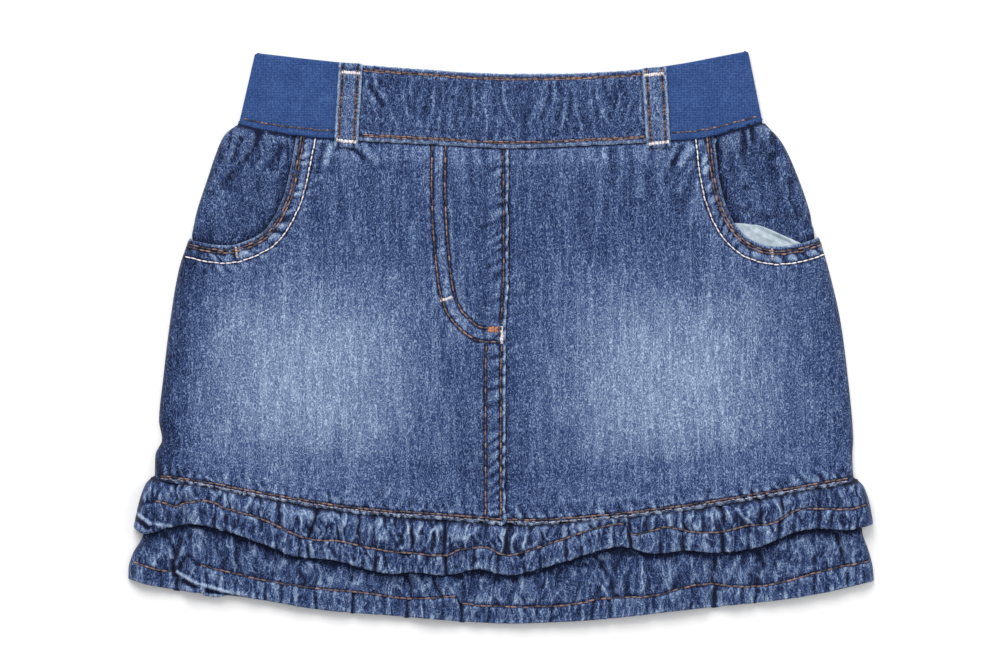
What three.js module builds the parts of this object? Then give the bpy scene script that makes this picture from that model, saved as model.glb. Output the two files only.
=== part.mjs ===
// A child's denim skirt, laid flat: two fronts with curved pocket mouths, an elastic waistband with a
// denim front, two belt loops, and two gathered ruffles at the hem.
// Millimetres. X runs to the right as seen from the front, Y from the hem to the waist, Z up from the
// surface that the skirt lies on.

import * as THREE from 'three';

// Cloth
const DENIM = 1.3;
const LINING = 1.0;
const ELASTIC = 2.2;
const STRAP = 1.7;
const BAND = 2.0;
const SEAM_ALLOWANCE = 2.6;
const HEM_FOLD = 2.3;
const GAP = 0.3;

// Heights of the outer face above the surface
const BODY_HEIGHT = 4.9;
const HEM_SEAM_HEIGHT = 7.2;
const WAIST_SEAM_HEIGHT = 4.6;
const LINING_LIFT = 1.2;
const HIP_HEIGHT = 2.9;
const BAND_HEIGHT = 4.7;
const LOOP_HEIGHT = 6.9;

// Lengths over which the cloth rises to a seam, and the radius of the turn at each side
const HEM_SLOPE = 26;
const WAIST_SLOPE = 9;
const WAIST_SLACK = { height: 0.5, length: 60 };
const FOLD_START = 6;
const SIDE_TURN = 6;

// How far a flat layer keeps inside the turned side of the layer over it
const SIDE_INSET = 2.4;
const HIP_INSET = 3.5;
const RUFFLE_INSET = 3;
const BACK_SEAM_GAP = 0.6;

// Edges of the pieces as they lie, seen from above
const WAIST_TOP = [
  { x: -118.1, y: 136.4 }, { x: -77, y: 132 }, { x: -50, y: 129.3 }, { x: 0, y: 126.3 },
  { x: 47, y: 127.4 }, { x: 78, y: 129.5 }, { x: 118.6, y: 136.6 },
];
const WAIST_BOTTOM = [
  { x: -126, y: 102.2 }, { x: -106, y: 98.2 }, { x: -77, y: 95.4 }, { x: -28, y: 92.9 }, { x: 3, y: 91.3 },
  { x: 47, y: 92.9 }, { x: 81, y: 94.8 }, { x: 99, y: 96.5 }, { x: 126, y: 103.7 },
];
const BAND_SIDE = [
  { down: 0, left: -118.1, right: 118.6 },
  { down: 1, left: -125.8, right: 125.3 },
];
const HIP_SIDE = [
  { y: 102.5, left: -126, right: 125.4 }, { y: 98, left: -132, right: 131.2 },
  { y: 91, left: -135.8, right: 136.3 }, { y: 75.6, left: -141.1, right: 143 },
  { y: 60, left: -145.6, right: 147.6 }, { y: 52, left: -146.6, right: 148.8 },
  { y: 46, left: -144.6, right: 147.4 }, { y: 36, left: -144.6, right: 147.4 },
];
const BODY_SIDE = [
  { y: 47.5, left: -149.6, right: 152.6 }, { y: 25.7, left: -155.5, right: 158.4 },
  { y: -8.9, left: -160.3, right: 164.2 }, { y: -47.3, left: -163.9, right: 168 },
  { y: -69, left: -165.7, right: 169.2 },
];
const POCKET_LEFT = [
  { x: -149.6, y: 46.6 }, { x: -138, y: 44.2 }, { x: -127.2, y: 44.4 }, { x: -113, y: 51.5 },
  { x: -104.4, y: 66 }, { x: -100.8, y: 79.4 }, { x: -97.4, y: 97.3 },
];
const POCKET_RIGHT = [
  { x: 152.6, y: 47.5 }, { x: 142.1, y: 44.3 }, { x: 129.6, y: 43.4 }, { x: 118.6, y: 47.3 },
  { x: 109.9, y: 57.8 }, { x: 104.6, y: 74.2 }, { x: 101.8, y: 96.8 },
];
const CENTRE_EDGE = [
  { y: 92, x: 3.1 }, { y: 31, x: 3.1 }, { y: 4, x: 1.8 }, { y: -90, x: 1.5 },
];
const HEM_SEAM = [
  { x: -166, y: -67.4 }, { x: -144.5, y: -70.3 }, { x: -120.5, y: -74.9 }, { x: -72.5, y: -82.8 },
  { x: -24.5, y: -86.6 }, { x: 1.9, y: -88.6 }, { x: 23.5, y: -88.6 }, { x: 71.5, y: -84.2 },
  { x: 119.5, y: -77 }, { x: 169.5, y: -68.4 },
];
const UPPER_HEM = [
  { x: -176.4, y: -90.5 }, { x: -171.5, y: -93.4 }, { x: -158.9, y: -91 }, { x: -146.4, y: -89 },
  { x: -129.1, y: -93.2 }, { x: -109.4, y: -100.1 }, { x: -98.9, y: -104.4 }, { x: -77.8, y: -106.6 },
  { x: -64.8, y: -110.6 }, { x: -53.3, y: -112.6 }, { x: -40.8, y: -112.1 }, { x: -26.4, y: -113.5 },
  { x: -11, y: -110.6 }, { x: 4.3, y: -113.5 }, { x: 25.9, y: -108.2 }, { x: 55.7, y: -99.9 },
  { x: 71.5, y: -103 }, { x: 87.8, y: -101.8 }, { x: 104.6, y: -102.7 }, { x: 121.9, y: -100.1 },
  { x: 145.4, y: -91.6 }, { x: 166.6, y: -91.8 }, { x: 178.6, y: -89 },
];
const LOWER_HEM = [
  { x: -179, y: -115.4 }, { x: -167.5, y: -118.8 }, { x: -144.5, y: -122.2 }, { x: -121.4, y: -124.6 },
  { x: -86.9, y: -130.3 }, { x: -52.3, y: -133.2 }, { x: -17.8, y: -136 }, { x: 5.3, y: -137 },
  { x: 39.8, y: -135.6 }, { x: 62.9, y: -133.4 }, { x: 97.4, y: -129.4 }, { x: 132, y: -126.5 },
  { x: 155, y: -121.7 }, { x: 179, y: -115.2 },
];

// Folds: a ridge where height is positive and a trough where it is negative, along a straight line
const LEFT_HIP_FOLDS = [
  { x1: -122.4, y1: 100, x2: -136, y2: 71, width: 4, height: 1.6 },
  { x1: -115.7, y1: 98, x2: -118, y2: 87, width: 2.4, height: -1.2 },
  { x1: -118, y1: 87, x2: -140, y2: 66.5, width: 3, height: -1.1 },
  { x1: -124.5, y1: 95, x2: -128, y2: 85, width: 2.2, height: -1.3 },
  { x1: -104.4, y1: 91, x2: -109, y2: 82, width: 2.4, height: -1.1 },
];
const RIGHT_HIP_FOLDS = [
  { x1: 110, y1: 97, x2: 116, y2: 76, width: 3, height: 1.2 },
  { x1: 115.5, y1: 99, x2: 117, y2: 90, width: 1.8, height: -1.2 },
  { x1: 120, y1: 99, x2: 121, y2: 93, width: 1.7, height: -1.6 },
  { x1: 124, y1: 101, x2: 129, y2: 90, width: 1.9, height: 1.4 },
  { x1: 138.2, y1: 75, x2: 146, y2: 50, width: 2.4, height: -1.1 },
  { x1: 134, y1: 84, x2: 141, y2: 58, width: 3, height: 1.1 },
];
const LEFT_FRONT_FOLDS = [
  { x1: -90, y1: 92, x2: -92, y2: 80, width: 3, height: 1 },
  { x1: -84.5, y1: 93, x2: -86, y2: 78, width: 2.2, height: -0.8 },
  { x1: -62, y1: 93, x2: -66, y2: 72, width: 4, height: 0.7 },
  { x1: -47, y1: 92, x2: -46, y2: 78, width: 3, height: -0.6 },
  { x1: -20, y1: 91, x2: -18, y2: 70, width: 4, height: 0.6 },
];
const RIGHT_FRONT_FOLDS = [
  { x1: 87.8, y1: 93.8, x2: 79.2, y2: 74.6, width: 2.2, height: -1.2 },
  { x1: 91.5, y1: 91, x2: 85.4, y2: 70.8, width: 2.6, height: 1.3 },
  { x1: 68, y1: 92, x2: 66, y2: 70, width: 4, height: 0.8 },
  { x1: 54, y1: 92, x2: 53, y2: 74, width: 3, height: -0.7 },
  { x1: 32, y1: 91, x2: 30, y2: 70, width: 4, height: 0.7 },
  { x1: 17, y1: 91, x2: 17, y2: 78, width: 3, height: -0.5 },
];
const BAND_FOLDS = [
  { x1: -67, y1: 125, x2: -56, y2: 112, width: 1.6, height: -0.7 },
  { x1: -62, y1: 128, x2: -62, y2: 118, width: 1.8, height: 0.5 },
];
const BAND_PUCKERS = { count: 12, height: 0.28, wander: 0.012, wanderTurns: 23, heldEnd: 1 / 12 };
const ARCH = { across: 0.35, along: 0.5 };

// Ruffles. Each row is one line along the strip. `down` counts from the body's hem: 1 is the upper
// ruffle's hem and 2 the lower one's. `height` is the middle of the outer face, `fine` and `broad` the
// waves above and below it, and `low` the height at the side seams.
const UPPER_ROWS = [
  { down: 0.012, height: 6.7, fine: 0.1, broad: 0, low: 0, left: -166, right: 169.4, wall: DENIM },
  { down: 0.2, height: 10.4, fine: 1.5, broad: 0.5, low: 0, left: -170.8, right: 173, wall: DENIM },
  { down: 0.55, height: 11.2, fine: 1.3, broad: 1.1, low: 0, left: -173.2, right: 175.4, wall: DENIM },
  { down: 0.82, height: 11.3, fine: 0.9, broad: 1.5, low: 0, left: -175.4, right: 177.8, wall: DENIM },
  { down: 1, height: 11.7, fine: 0.8, broad: 1.6, low: 0, left: -176.4, right: 178.6, wall: HEM_FOLD },
];
const LOWER_ROWS = [
  { down: 0.012, height: 4.8, fine: 0, broad: 0, low: 4.4, left: -162, right: 165, wall: DENIM },
  { down: 0.5, height: 5.6, fine: 0.2, broad: 0.2, low: 4.8, left: -167, right: 170, wall: DENIM },
  { down: 0.93, height: 5.7, fine: 0.5, broad: 0.4, low: 4.9, left: -171, right: 172.6, wall: DENIM },
  { down: 1.25, height: 5.7, fine: 1.1, broad: 0.9, low: 0, left: -174.6, right: 174.6, wall: DENIM },
  { down: 1.72, height: 5.5, fine: 0.8, broad: 1.2, low: 0, left: -178.6, right: 178.6, wall: DENIM },
  { down: 2, height: 5.6, fine: 0.6, broad: 1.3, low: 0, left: -179, right: 179, wall: HEM_FOLD },
];
const UPPER_WAVES = { fine: 40, broad: 17, shift: 0.4 };
const LOWER_WAVES = { fine: 28, broad: 11, shift: 2.1 };
const STEPS_PER_GATHER = 5;
const PINCH = 0.5;
const UPPER_BACK_INSET = 3.5;
const LOWER_BACK_INSET = 1.5;

const denim = cloth(0x3d5a8c);
const denimBack = cloth(0x36507e);
const denimRuffle = cloth(0x3a5586);
const denimBand = cloth(0x3f5b8a);
const denimStrap = cloth(0x4a6794);
const elastic = cloth(0x335f9c);
const cotton = cloth(0xbfd9e0);

function cloth(color) {
  return new THREE.MeshStandardMaterial({ color, roughness: 0.9, metalness: 0, side: THREE.DoubleSide });
}

// Number helpers

const mix = THREE.MathUtils.lerp;
const clamp01 = (value) => THREE.MathUtils.clamp(value, 0, 1);
const smooth = (value) => THREE.MathUtils.smoothstep(value, 0, 1);

// Whole numbers from 0 to count, as shares of 1
const shares = (count) => Array.from({ length: count + 1 }, (_, i) => i / count);

// A smooth curve through the rows of a table, read at any value of `key`. The slope at each row is
// that from the row before to the row after.
function curve(rows, key, value) {
  const last = rows.length - 1;
  const slopes = rows.map((_, i) => {
    const before = rows[Math.max(i - 1, 0)];
    const after = rows[Math.min(i + 1, last)];
    return (after[value] - before[value]) / (after[key] - before[key]);
  });
  const rising = rows[last][key] > rows[0][key];
  return (at) => {
    let i = rows.findIndex((row) => (rising ? row[key] > at : row[key] < at)) - 1;
    if (i === -2) i = last - 1;
    i = Math.min(Math.max(i, 0), last - 1);
    const span = rows[i + 1][key] - rows[i][key];
    const t = THREE.MathUtils.clamp((at - rows[i][key]) / span, -0.2, 1.2);
    const a = rows[i][value];
    const b = rows[i + 1][value];
    const h = t * t * (3 - 2 * t);
    return a + (b - a) * h + span * t * (1 - t) * (slopes[i] * (1 - t) - slopes[i + 1] * t);
  };
}

const waistTop = curve(WAIST_TOP, 'x', 'y');
const waistBottom = curve(WAIST_BOTTOM, 'x', 'y');
const hemSeam = curve(HEM_SEAM, 'x', 'y');
const upperHem = curve(UPPER_HEM, 'x', 'y');
const lowerHem = curve(LOWER_HEM, 'x', 'y');
const centreEdge = curve(CENTRE_EDGE, 'y', 'x');
const hipSide = { left: curve(HIP_SIDE, 'y', 'left'), right: curve(HIP_SIDE, 'y', 'right') };
const bodySide = { left: curve(BODY_SIDE, 'y', 'left'), right: curve(BODY_SIDE, 'y', 'right') };

// The height that a table of folds adds at a point
function foldHeight(folds, x, y) {
  let sum = 0;
  for (const fold of folds) {
    const dx = fold.x2 - fold.x1;
    const dy = fold.y2 - fold.y1;
    const along = clamp01(((x - fold.x1) * dx + (y - fold.y1) * dy) / (dx * dx + dy * dy));
    const away = Math.hypot(x - fold.x1 - dx * along, y - fold.y1 - dy * along);
    sum += fold.height * Math.exp(-((away / fold.width) ** 2));
  }
  return sum;
}

// Height of a turned side: a quarter ellipse from `low` at the edge to `high` at SIDE_TURN inside it
function turned(inside, low, high) {
  const t = clamp01(inside / SIDE_TURN);
  return low + (high - low) * Math.sqrt(t * (2 - t));
}

// Solids

// A closed solid between two grids of points. The first index runs to the right on the upper face and
// the second towards the hem.
function solid(name, outer, inner, material) {
  const columns = outer.length;
  const rows = outer[0].length;
  const positions = [];
  for (const face of [outer, inner]) {
    for (const column of face) {
      for (const point of column) positions.push(point.x, point.y, point.z);
    }
  }
  const out = (i, j) => i * rows + j;
  const under = (i, j) => columns * rows + i * rows + j;
  const index = [];
  const quad = (a, b, c, d) => index.push(a, b, c, a, c, d);
  for (let i = 0; i < columns - 1; i += 1) {
    for (let j = 0; j < rows - 1; j += 1) {
      quad(out(i, j), out(i, j + 1), out(i + 1, j + 1), out(i + 1, j));
      quad(under(i, j), under(i + 1, j), under(i + 1, j + 1), under(i, j + 1));
    }
    quad(out(i, 0), out(i + 1, 0), under(i + 1, 0), under(i, 0));
    quad(out(i, rows - 1), under(i, rows - 1), under(i + 1, rows - 1), out(i + 1, rows - 1));
  }
  for (let j = 0; j < rows - 1; j += 1) {
    quad(out(0, j), under(0, j), under(0, j + 1), out(0, j + 1));
    quad(out(columns - 1, j), out(columns - 1, j + 1), under(columns - 1, j + 1), under(columns - 1, j));
  }
  const geometry = new THREE.BufferGeometry();
  geometry.setAttribute('position', new THREE.Float32BufferAttribute(positions, 3));
  geometry.setIndex(index);
  geometry.computeVertexNormals();
  const mesh = new THREE.Mesh(geometry, material);
  mesh.name = name;
  return mesh;
}

// A wall of cloth: its outer points, and inner points set in by the wall along the grid's normal. The
// inner face never goes below `floor`.
function wall(name, outer, thickness, material, floor = 0) {
  const columns = outer.length;
  const rows = outer[0].length;
  const across = new THREE.Vector3();
  const down = new THREE.Vector3();
  const normal = new THREE.Vector3();
  const inner = outer.map((column, i) => column.map((point, j) => {
    across.subVectors(outer[Math.min(i + 1, columns - 1)][j], outer[Math.max(i - 1, 0)][j]);
    down.subVectors(column[Math.min(j + 1, rows - 1)], column[Math.max(j - 1, 0)]);
    normal.crossVectors(down, across).normalize();
    const set = point.clone().addScaledVector(normal, -thickness(i, j));
    set.z = Math.max(set.z, floor);
    return set;
  }));
  return solid(name, outer, inner, material);
}

// A four-sided patch in the XY plane from its four edges, each a function of a share from 0 to 1
function patch(top, bottom, left, right) {
  const corner = { tl: top(0), tr: top(1), bl: bottom(0), br: bottom(1) };
  return (u, v) => {
    const point = new THREE.Vector2();
    point.addScaledVector(top(u), 1 - v).addScaledVector(bottom(u), v);
    point.addScaledVector(left(v), 1 - u).addScaledVector(right(v), u);
    point.addScaledVector(corner.tl, -(1 - u) * (1 - v)).addScaledVector(corner.tr, -u * (1 - v));
    point.addScaledVector(corner.bl, -(1 - u) * v).addScaledVector(corner.br, -u * v);
    return point;
  };
}

const asPoint = (row) => new THREE.Vector2(row.x, row.y);
const waistPoint = (x) => new THREE.Vector2(x, waistBottom(x) - GAP);
const flipped = (edge) => (share) => edge(1 - share);

// Shares of a width of about 170 mm: closer together in the turned side and at the centre edge
const PANEL_WIDTH = 170;
const PANEL_COLUMNS = 22;
const TURN_STATIONS = [0, 0.3, 1.3, 3.2, SIDE_TURN];
const PANEL_SHARES = [
  ...TURN_STATIONS.map((inside) => inside / PANEL_WIDTH),
  ...shares(PANEL_COLUMNS).slice(2),
];
const PANEL_ROWS = [0, 0.03, 0.07, 0.12, 0.18, 0.27, 0.4, 0.55, 0.7, 0.82, 0.9, 0.94, 0.965, 1];
const ALLOWANCE_SHARE = 0.95;

// Height of the front's outer face between the waist seam and the hem seam
function bodyHeight(x, y) {
  const aboveHem = y - hemSeam(x);
  const belowWaist = waistBottom(x) - y;
  const hemRise = (HEM_SEAM_HEIGHT - BODY_HEIGHT) * smooth(1 - aboveHem / HEM_SLOPE);
  const slack = WAIST_SLACK.height * smooth(1 - belowWaist / WAIST_SLACK.length);
  const waistDrop = BODY_HEIGHT + WAIST_SLACK.height - WAIST_SEAM_HEIGHT;
  return BODY_HEIGHT + slack + hemRise - waistDrop * smooth(1 - belowWaist / WAIST_SLOPE);
}

// The right front lies a little higher over the lining, and the left front's centre edge over the right
const OVER_LINING = { x: 131, y: 46, radius: 26, fade: 25 };
const LAP = { height: 0.7, width: 12 };
const CORNER_EASE = 12;

// The two fronts. The upper edge runs along the pocket mouth and then along the waistband.
function front(name, hand, pocketRows, folds) {
  const pocket = new THREE.SplineCurve(pocketRows.map(asPoint));
  const pocketTop = pocket.getPoint(1);
  const edgeX = (y) => centreEdge(y) + (hand === 'right' ? GAP : 0);
  const waistEnd = waistPoint(edgeX(CENTRE_EDGE[0].y));
  const pocketShare = pocket.getLength() / (pocket.getLength() + Math.abs(waistEnd.x - pocketTop.x));
  const top = (u) => {
    if (u < pocketShare) {
      const point = pocket.getPointAt(u / pocketShare);
      point.y = Math.min(point.y, waistBottom(point.x) - GAP);
      return point;
    }
    return waistPoint(mix(pocketTop.x, waistEnd.x, (u - pocketShare) / (1 - pocketShare)));
  };
  const sideBottom = BODY_SIDE[BODY_SIDE.length - 1][hand];
  const centreBottom = edgeX(hemSeam(0));
  const bottom = (u) => {
    const x = mix(sideBottom, centreBottom, u);
    return new THREE.Vector2(x, hemSeam(x));
  };
  const sideTop = pocketRows[0];
  const side = (v) => {
    const y = mix(sideTop.y, hemSeam(sideBottom), v);
    return new THREE.Vector2(mix(sideTop.x, bodySide[hand](y), smooth(v * CORNER_EASE)), y);
  };
  const centre = (v) => {
    const y = mix(waistEnd.y, hemSeam(centreBottom), v);
    return new THREE.Vector2(edgeX(y), y);
  };
  const plan = hand === 'left'
    ? patch(top, bottom, side, centre)
    : patch(flipped(top), flipped(bottom), centre, side);
  const stations = hand === 'left' ? PANEL_SHARES : PANEL_SHARES.map((share) => 1 - share).reverse();
  const outer = stations.map((u) => PANEL_ROWS.map((v) => {
    const point = plan(u, v);
    const inside = hand === 'left' ? u * PANEL_WIDTH : (1 - u) * PANEL_WIDTH;
    const fromLining = Math.hypot(point.x - OVER_LINING.x, point.y - OVER_LINING.y) - OVER_LINING.radius;
    const fromCentre = centreEdge(point.y) - point.x;
    const raised = hand === 'right'
      ? LINING_LIFT * smooth(1 - fromLining / OVER_LINING.fade)
      : LAP.height * smooth(1 - fromCentre / LAP.width);
    const held = smooth((waistBottom(point.x) - point.y) / FOLD_START);
    const fold = held * foldHeight(folds, point.x, point.y);
    const high = bodyHeight(point.x, point.y) + fold + raised;
    return new THREE.Vector3(point.x, point.y, turned(inside, 0, high));
  }));
  const allowanceRow = PANEL_ROWS.findIndex((v) => v > ALLOWANCE_SHARE);
  const turnColumns = TURN_STATIONS.length;
  const isTurned = (i) => (hand === 'left' ? i < turnColumns : i >= outer.length - turnColumns);
  return wall(name, outer, (i, j) => (j >= allowanceRow && !isTurned(i) ? SEAM_ALLOWANCE : DENIM), denim);
}

// The back lies flat on the surface, inside the turned sides of the hip pieces and the fronts
const MOUTH_CORNER = 45.5;
const BACK_SIDE_STATIONS = [97, 91, 84, 75, 66, 57, 46.5, 41, 26, 8, -14, -36, -56];
const BACK_FOOT = -69;
const BACK_TOP_HALF = 122;
const BACK_EDGE_STEPS = { hem: 24, waist: 16 };

function back() {
  const side = (y, hand) => {
    const isHip = y > MOUTH_CORNER;
    const edge = isHip ? hipSide[hand](y) : bodySide[hand](y);
    const inset = isHip ? HIP_INSET : SIDE_INSET;
    return edge + (hand === 'left' ? inset : -inset);
  };
  const down = BACK_SIDE_STATIONS.map((y) => new THREE.Vector2(side(y, 'left'), y));
  const hem = shares(BACK_EDGE_STEPS.hem).map((share) => {
    const x = mix(side(BACK_FOOT, 'left'), side(BACK_FOOT, 'right'), share);
    return new THREE.Vector2(x, hemSeam(x));
  });
  const up = [...BACK_SIDE_STATIONS].reverse().map((y) => new THREE.Vector2(side(y, 'right'), y));
  const waist = shares(BACK_EDGE_STEPS.waist).map((share) => (
    waistPoint(mix(BACK_TOP_HALF, -BACK_TOP_HALF, share))));
  const shape = new THREE.Shape([...down, ...hem, ...up, ...waist]);
  const geometry = new THREE.ExtrudeGeometry(shape, { depth: DENIM, bevelEnabled: false });
  const mesh = new THREE.Mesh(geometry, denimBack);
  mesh.name = 'back_panel';
  return mesh;
}

// Hip pieces behind the pocket mouths. They run about 8 mm under the front and turn down at the side,
// and the elastic gathers their upper edges.
const HIP_COLUMNS = 18;
const HIP_WIDTH = 42;
const HIP_SHARES = [...TURN_STATIONS.map((inside) => inside / HIP_WIDTH), ...shares(HIP_COLUMNS).slice(3)];
const HIP_ROWS = [0, 0.04, 0.1, 0.17, 0.26, 0.38, 0.52, 0.66, 0.78, 0.83, 1];
const HIP_UNDER = {
  left: [{ x: -89, y: 95.6 }, { x: -93, y: 76 }, { x: -97, y: 61 }, { x: -106, y: 45 }],
  right: [{ x: 93.6, y: 95.4 }, { x: 96.5, y: 74 }, { x: 101.5, y: 55 }, { x: 112, y: 41 }],
};
const HIP_FOOT = { y: 38, dip: -4 };
const HIP_LIFT = { height: 1.1, ease: 7, clearOfEdge: 1, clearOfLining: 12, liningTop: 62 };
const HIP_PUFF = { height: 1.9, gather: 0.55, pitch: 9.5, length: 26, ease: 5 };
const HIP_TUCK = { from: 56, length: 4 };
const WAIST_EASE = 20;

// How far the hip piece rises at a point in the pocket mouth
function hipRise(point, hand, mouth, folds) {
  const belowWaist = waistBottom(point.x) - point.y;
  const toMouth = Math.min(...mouth.map((p) => p.distanceTo(point)));
  const overLining = hand === 'right' && point.y < HIP_LIFT.liningTop;
  const clear = overLining ? HIP_LIFT.clearOfLining : HIP_LIFT.clearOfEdge;
  const open = isInMouth(point, hand, mouth) ? smooth((toMouth - clear) / HIP_LIFT.ease) : 0;
  const gathers = HIP_PUFF.gather * Math.cos((2 * Math.PI * point.x) / HIP_PUFF.pitch);
  const eased = smooth(belowWaist / HIP_PUFF.ease);
  const puff = (HIP_PUFF.height + gathers) * smooth(1 - belowWaist / HIP_PUFF.length) * mix(0.5, 1, eased);
  return open * (HIP_LIFT.height + Math.max(0, puff + eased * foldHeight(folds, point.x, point.y)));
}

function hip(name, hand, pocketRows, folds) {
  const under = new THREE.SplineCurve(HIP_UNDER[hand].map(asPoint));
  const inner = (v) => under.getPointAt(v);
  const start = waistPoint(HIP_SIDE[0][hand]);
  const top = (u) => waistPoint(mix(start.x, HIP_UNDER[hand][0].x, u));
  const side = (v) => {
    const y = mix(start.y, HIP_FOOT.y, v);
    return new THREE.Vector2(mix(start.x, hipSide[hand](y), smooth(v * WAIST_EASE)), y);
  };
  const foot = (u) => {
    const point = side(1).lerp(inner(1), u);
    point.y += HIP_FOOT.dip * Math.sin(Math.PI * u);
    return point;
  };
  const plan = hand === 'left'
    ? patch(top, foot, side, inner)
    : patch(flipped(top), flipped(foot), inner, side);
  const stations = hand === 'left' ? HIP_SHARES : HIP_SHARES.map((share) => 1 - share).reverse();
  const mouth = new THREE.SplineCurve(pocketRows.map(asPoint)).getPoints(60);
  const outer = stations.map((u) => HIP_ROWS.map((v) => {
    const point = plan(u, v);
    const fromSide = hand === 'left' ? u * HIP_WIDTH : (1 - u) * HIP_WIDTH;
    const low = HIP_HEIGHT * smooth((HIP_TUCK.from - point.y) / HIP_TUCK.length);
    const high = HIP_HEIGHT + hipRise(point, hand, mouth, folds);
    return new THREE.Vector3(point.x, point.y, turned(fromSide, low, high));
  }));
  return wall(name, outer, () => DENIM, denim);
}

// Whether a point lies on the open side of a pocket mouth
function isInMouth(point, hand, pocket) {
  let nearest = 0;
  for (let i = 1; i < pocket.length; i += 1) {
    if (pocket[i].distanceTo(point) < pocket[nearest].distanceTo(point)) nearest = i;
  }
  const i = Math.min(nearest, pocket.length - 2);
  const along = pocket[i + 1].clone().sub(pocket[i]);
  const cross = along.cross(point.clone().sub(pocket[i]));
  return hand === 'left' ? cross > 0 : cross < 0;
}

// The lining that shows in the right pocket mouth: a shallow crescent along its foot
const LINING_TOP = [
  { x: 111.5, y: 56.4 }, { x: 117.6, y: 54.2 }, { x: 126, y: 51.2 }, { x: 135, y: 48.4 },
  { x: 143.2, y: 45.4 },
];
const LINING_FOOT = { start: { x: 111, y: 53.2 }, middle: { x: 127, y: 37 }, end: { x: 142.6, y: 40.5 } };
const LINING_HEIGHT = HIP_HEIGHT + LINING + 0.4;

function pocketLining() {
  const top = new THREE.SplineCurve(LINING_TOP.map(asPoint));
  const bottom = new THREE.QuadraticBezierCurve(
    asPoint(LINING_FOOT.start), asPoint(LINING_FOOT.middle), asPoint(LINING_FOOT.end));
  const outer = shares(12).map((u) => shares(4).map((v) => {
    const point = top.getPoint(u).lerp(bottom.getPoint(u), v);
    return new THREE.Vector3(point.x, point.y, LINING_HEIGHT);
  }));
  return wall('pocket_lining_right', outer, () => LINING, cotton);
}

// The elastic runs in one piece from belt loop to belt loop round both sides and the back. The joins to
// the denim band are under the middles of the loops.
const LOOPS = [
  { name: 'belt_loop_left', top: { x: -71.9, y: 131.4 }, foot: { x: -74.2, y: 91.3 }, width: 10.3 },
  { name: 'belt_loop_right', top: { x: 73.2, y: 129.4 }, foot: { x: 75.4, y: 91.3 }, width: 10.6 },
];
const BAND_ROWS = 4;
const ELASTIC_TURN = BAND_HEIGHT / 2;

function joinX(loop, down) {
  return mix(loop.top.x, loop.foot.x, down);
}

function elasticBand() {
  const lay = (depth) => {
    const radius = ELASTIC_TURN - depth;
    const columns = [];
    const add = (make) => columns.push(shares(BAND_ROWS).map(make));
    const bandY = (x, down) => mix(waistTop(x), waistBottom(x), down);
    const sideX = (hand, down) => mix(BAND_SIDE[0][hand], BAND_SIDE[1][hand], down);
    const turnX = (hand, down) => sideX(hand, down) + (hand === 'left' ? ELASTIC_TURN : -ELASTIC_TURN);
    const straight = (from, to, z, count) => {
      for (const share of shares(count)) {
        add((down) => {
          const x = mix(from(down), to(down), share);
          return new THREE.Vector3(x, bandY(x, down), z);
        });
      }
    };
    const turn = (hand, startAngle) => {
      for (const share of shares(6).slice(1, -1)) {
        const angle = startAngle - Math.PI * share;
        add((down) => {
          const x = turnX(hand, down) + radius * Math.cos(angle);
          const edge = sideX(hand, down);
          return new THREE.Vector3(x, bandY(edge, down), ELASTIC_TURN + radius * Math.sin(angle));
        });
      }
    };
    const leftJoin = (down) => joinX(LOOPS[0], down) - GAP / 2;
    const rightJoin = (down) => joinX(LOOPS[1], down) + GAP / 2;
    const leftTurn = (down) => turnX('left', down);
    const rightTurn = (down) => turnX('right', down);
    straight(rightJoin, rightTurn, ELASTIC_TURN + radius, 4);
    turn('right', Math.PI / 2);
    straight(rightTurn, leftTurn, ELASTIC_TURN - radius, 14);
    turn('left', -Math.PI / 2);
    straight(leftTurn, leftJoin, ELASTIC_TURN + radius, 4);
    return columns;
  };
  return solid('waistband_elastic', lay(0), lay(ELASTIC), elastic);
}

// The denim front of the waistband. Its puckers are deeper on the right.
function frontBand() {
  const { count, height, wander, wanderTurns, heldEnd } = BAND_PUCKERS;
  const stepsPerPucker = 4;
  const outer = shares(count * stepsPerPucker).map((share) => shares(BAND_ROWS).map((down) => {
    const from = joinX(LOOPS[0], down) + GAP / 2;
    const to = joinX(LOOPS[1], down) - GAP / 2;
    const x = mix(from, to, share);
    const y = mix(waistTop(x), waistBottom(x), down);
    const phase = 2 * Math.PI * count * (share + wander * Math.sin(wanderTurns * share));
    const pucker = height * mix(0.5, 1, share) * Math.cos(phase) * Math.sin(Math.PI * down);
    const held = smooth(share / heldEnd) * smooth((1 - share) / heldEnd);
    return new THREE.Vector3(x, y, BAND_HEIGHT + held * (pucker + foldHeight(BAND_FOLDS, x, y)));
  }));
  return wall('waistband_front', outer, () => BAND, denimBand, ELASTIC + GAP);
}

function beltLoop(loop) {
  const lean = (loop.foot.x - loop.top.x) / (loop.top.y - loop.foot.y);
  const outer = shares(5).map((across) => shares(8).map((down) => {
    const fromMiddle = (across - 0.5) * loop.width;
    const x = mix(loop.top.x, loop.foot.x, down) + fromMiddle;
    const y = mix(loop.top.y, loop.foot.y, down) + fromMiddle * lean;
    const arch = ARCH.across * Math.sin(Math.PI * across) + ARCH.along * Math.sin(Math.PI * down);
    return new THREE.Vector3(x, y, LOOP_HEIGHT + arch);
  }));
  return wall(loop.name, outer, () => STRAP, denimStrap);
}

// Distance down a ruffle, from the body's hem through the upper ruffle's hem to the lower one's
function ruffleY(down, xBody, xUpper, xLower) {
  if (down <= 1) return mix(hemSeam(xBody), upperHem(xUpper), down);
  return mix(upperHem(xUpper), lowerHem(xLower), down - 1);
}

// Gathers of uneven width: the share of the strip's length at gather number `count`, and how wide
// that gather is against the mean
const WANDER = [{ period: 7.7, size: 0.33, lag: 1 }, { period: 3.3, size: 0.1, lag: 2 }];
const STRETCH = { least: 0.6, most: 1.3 };
const END_EASE = 2;

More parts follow.
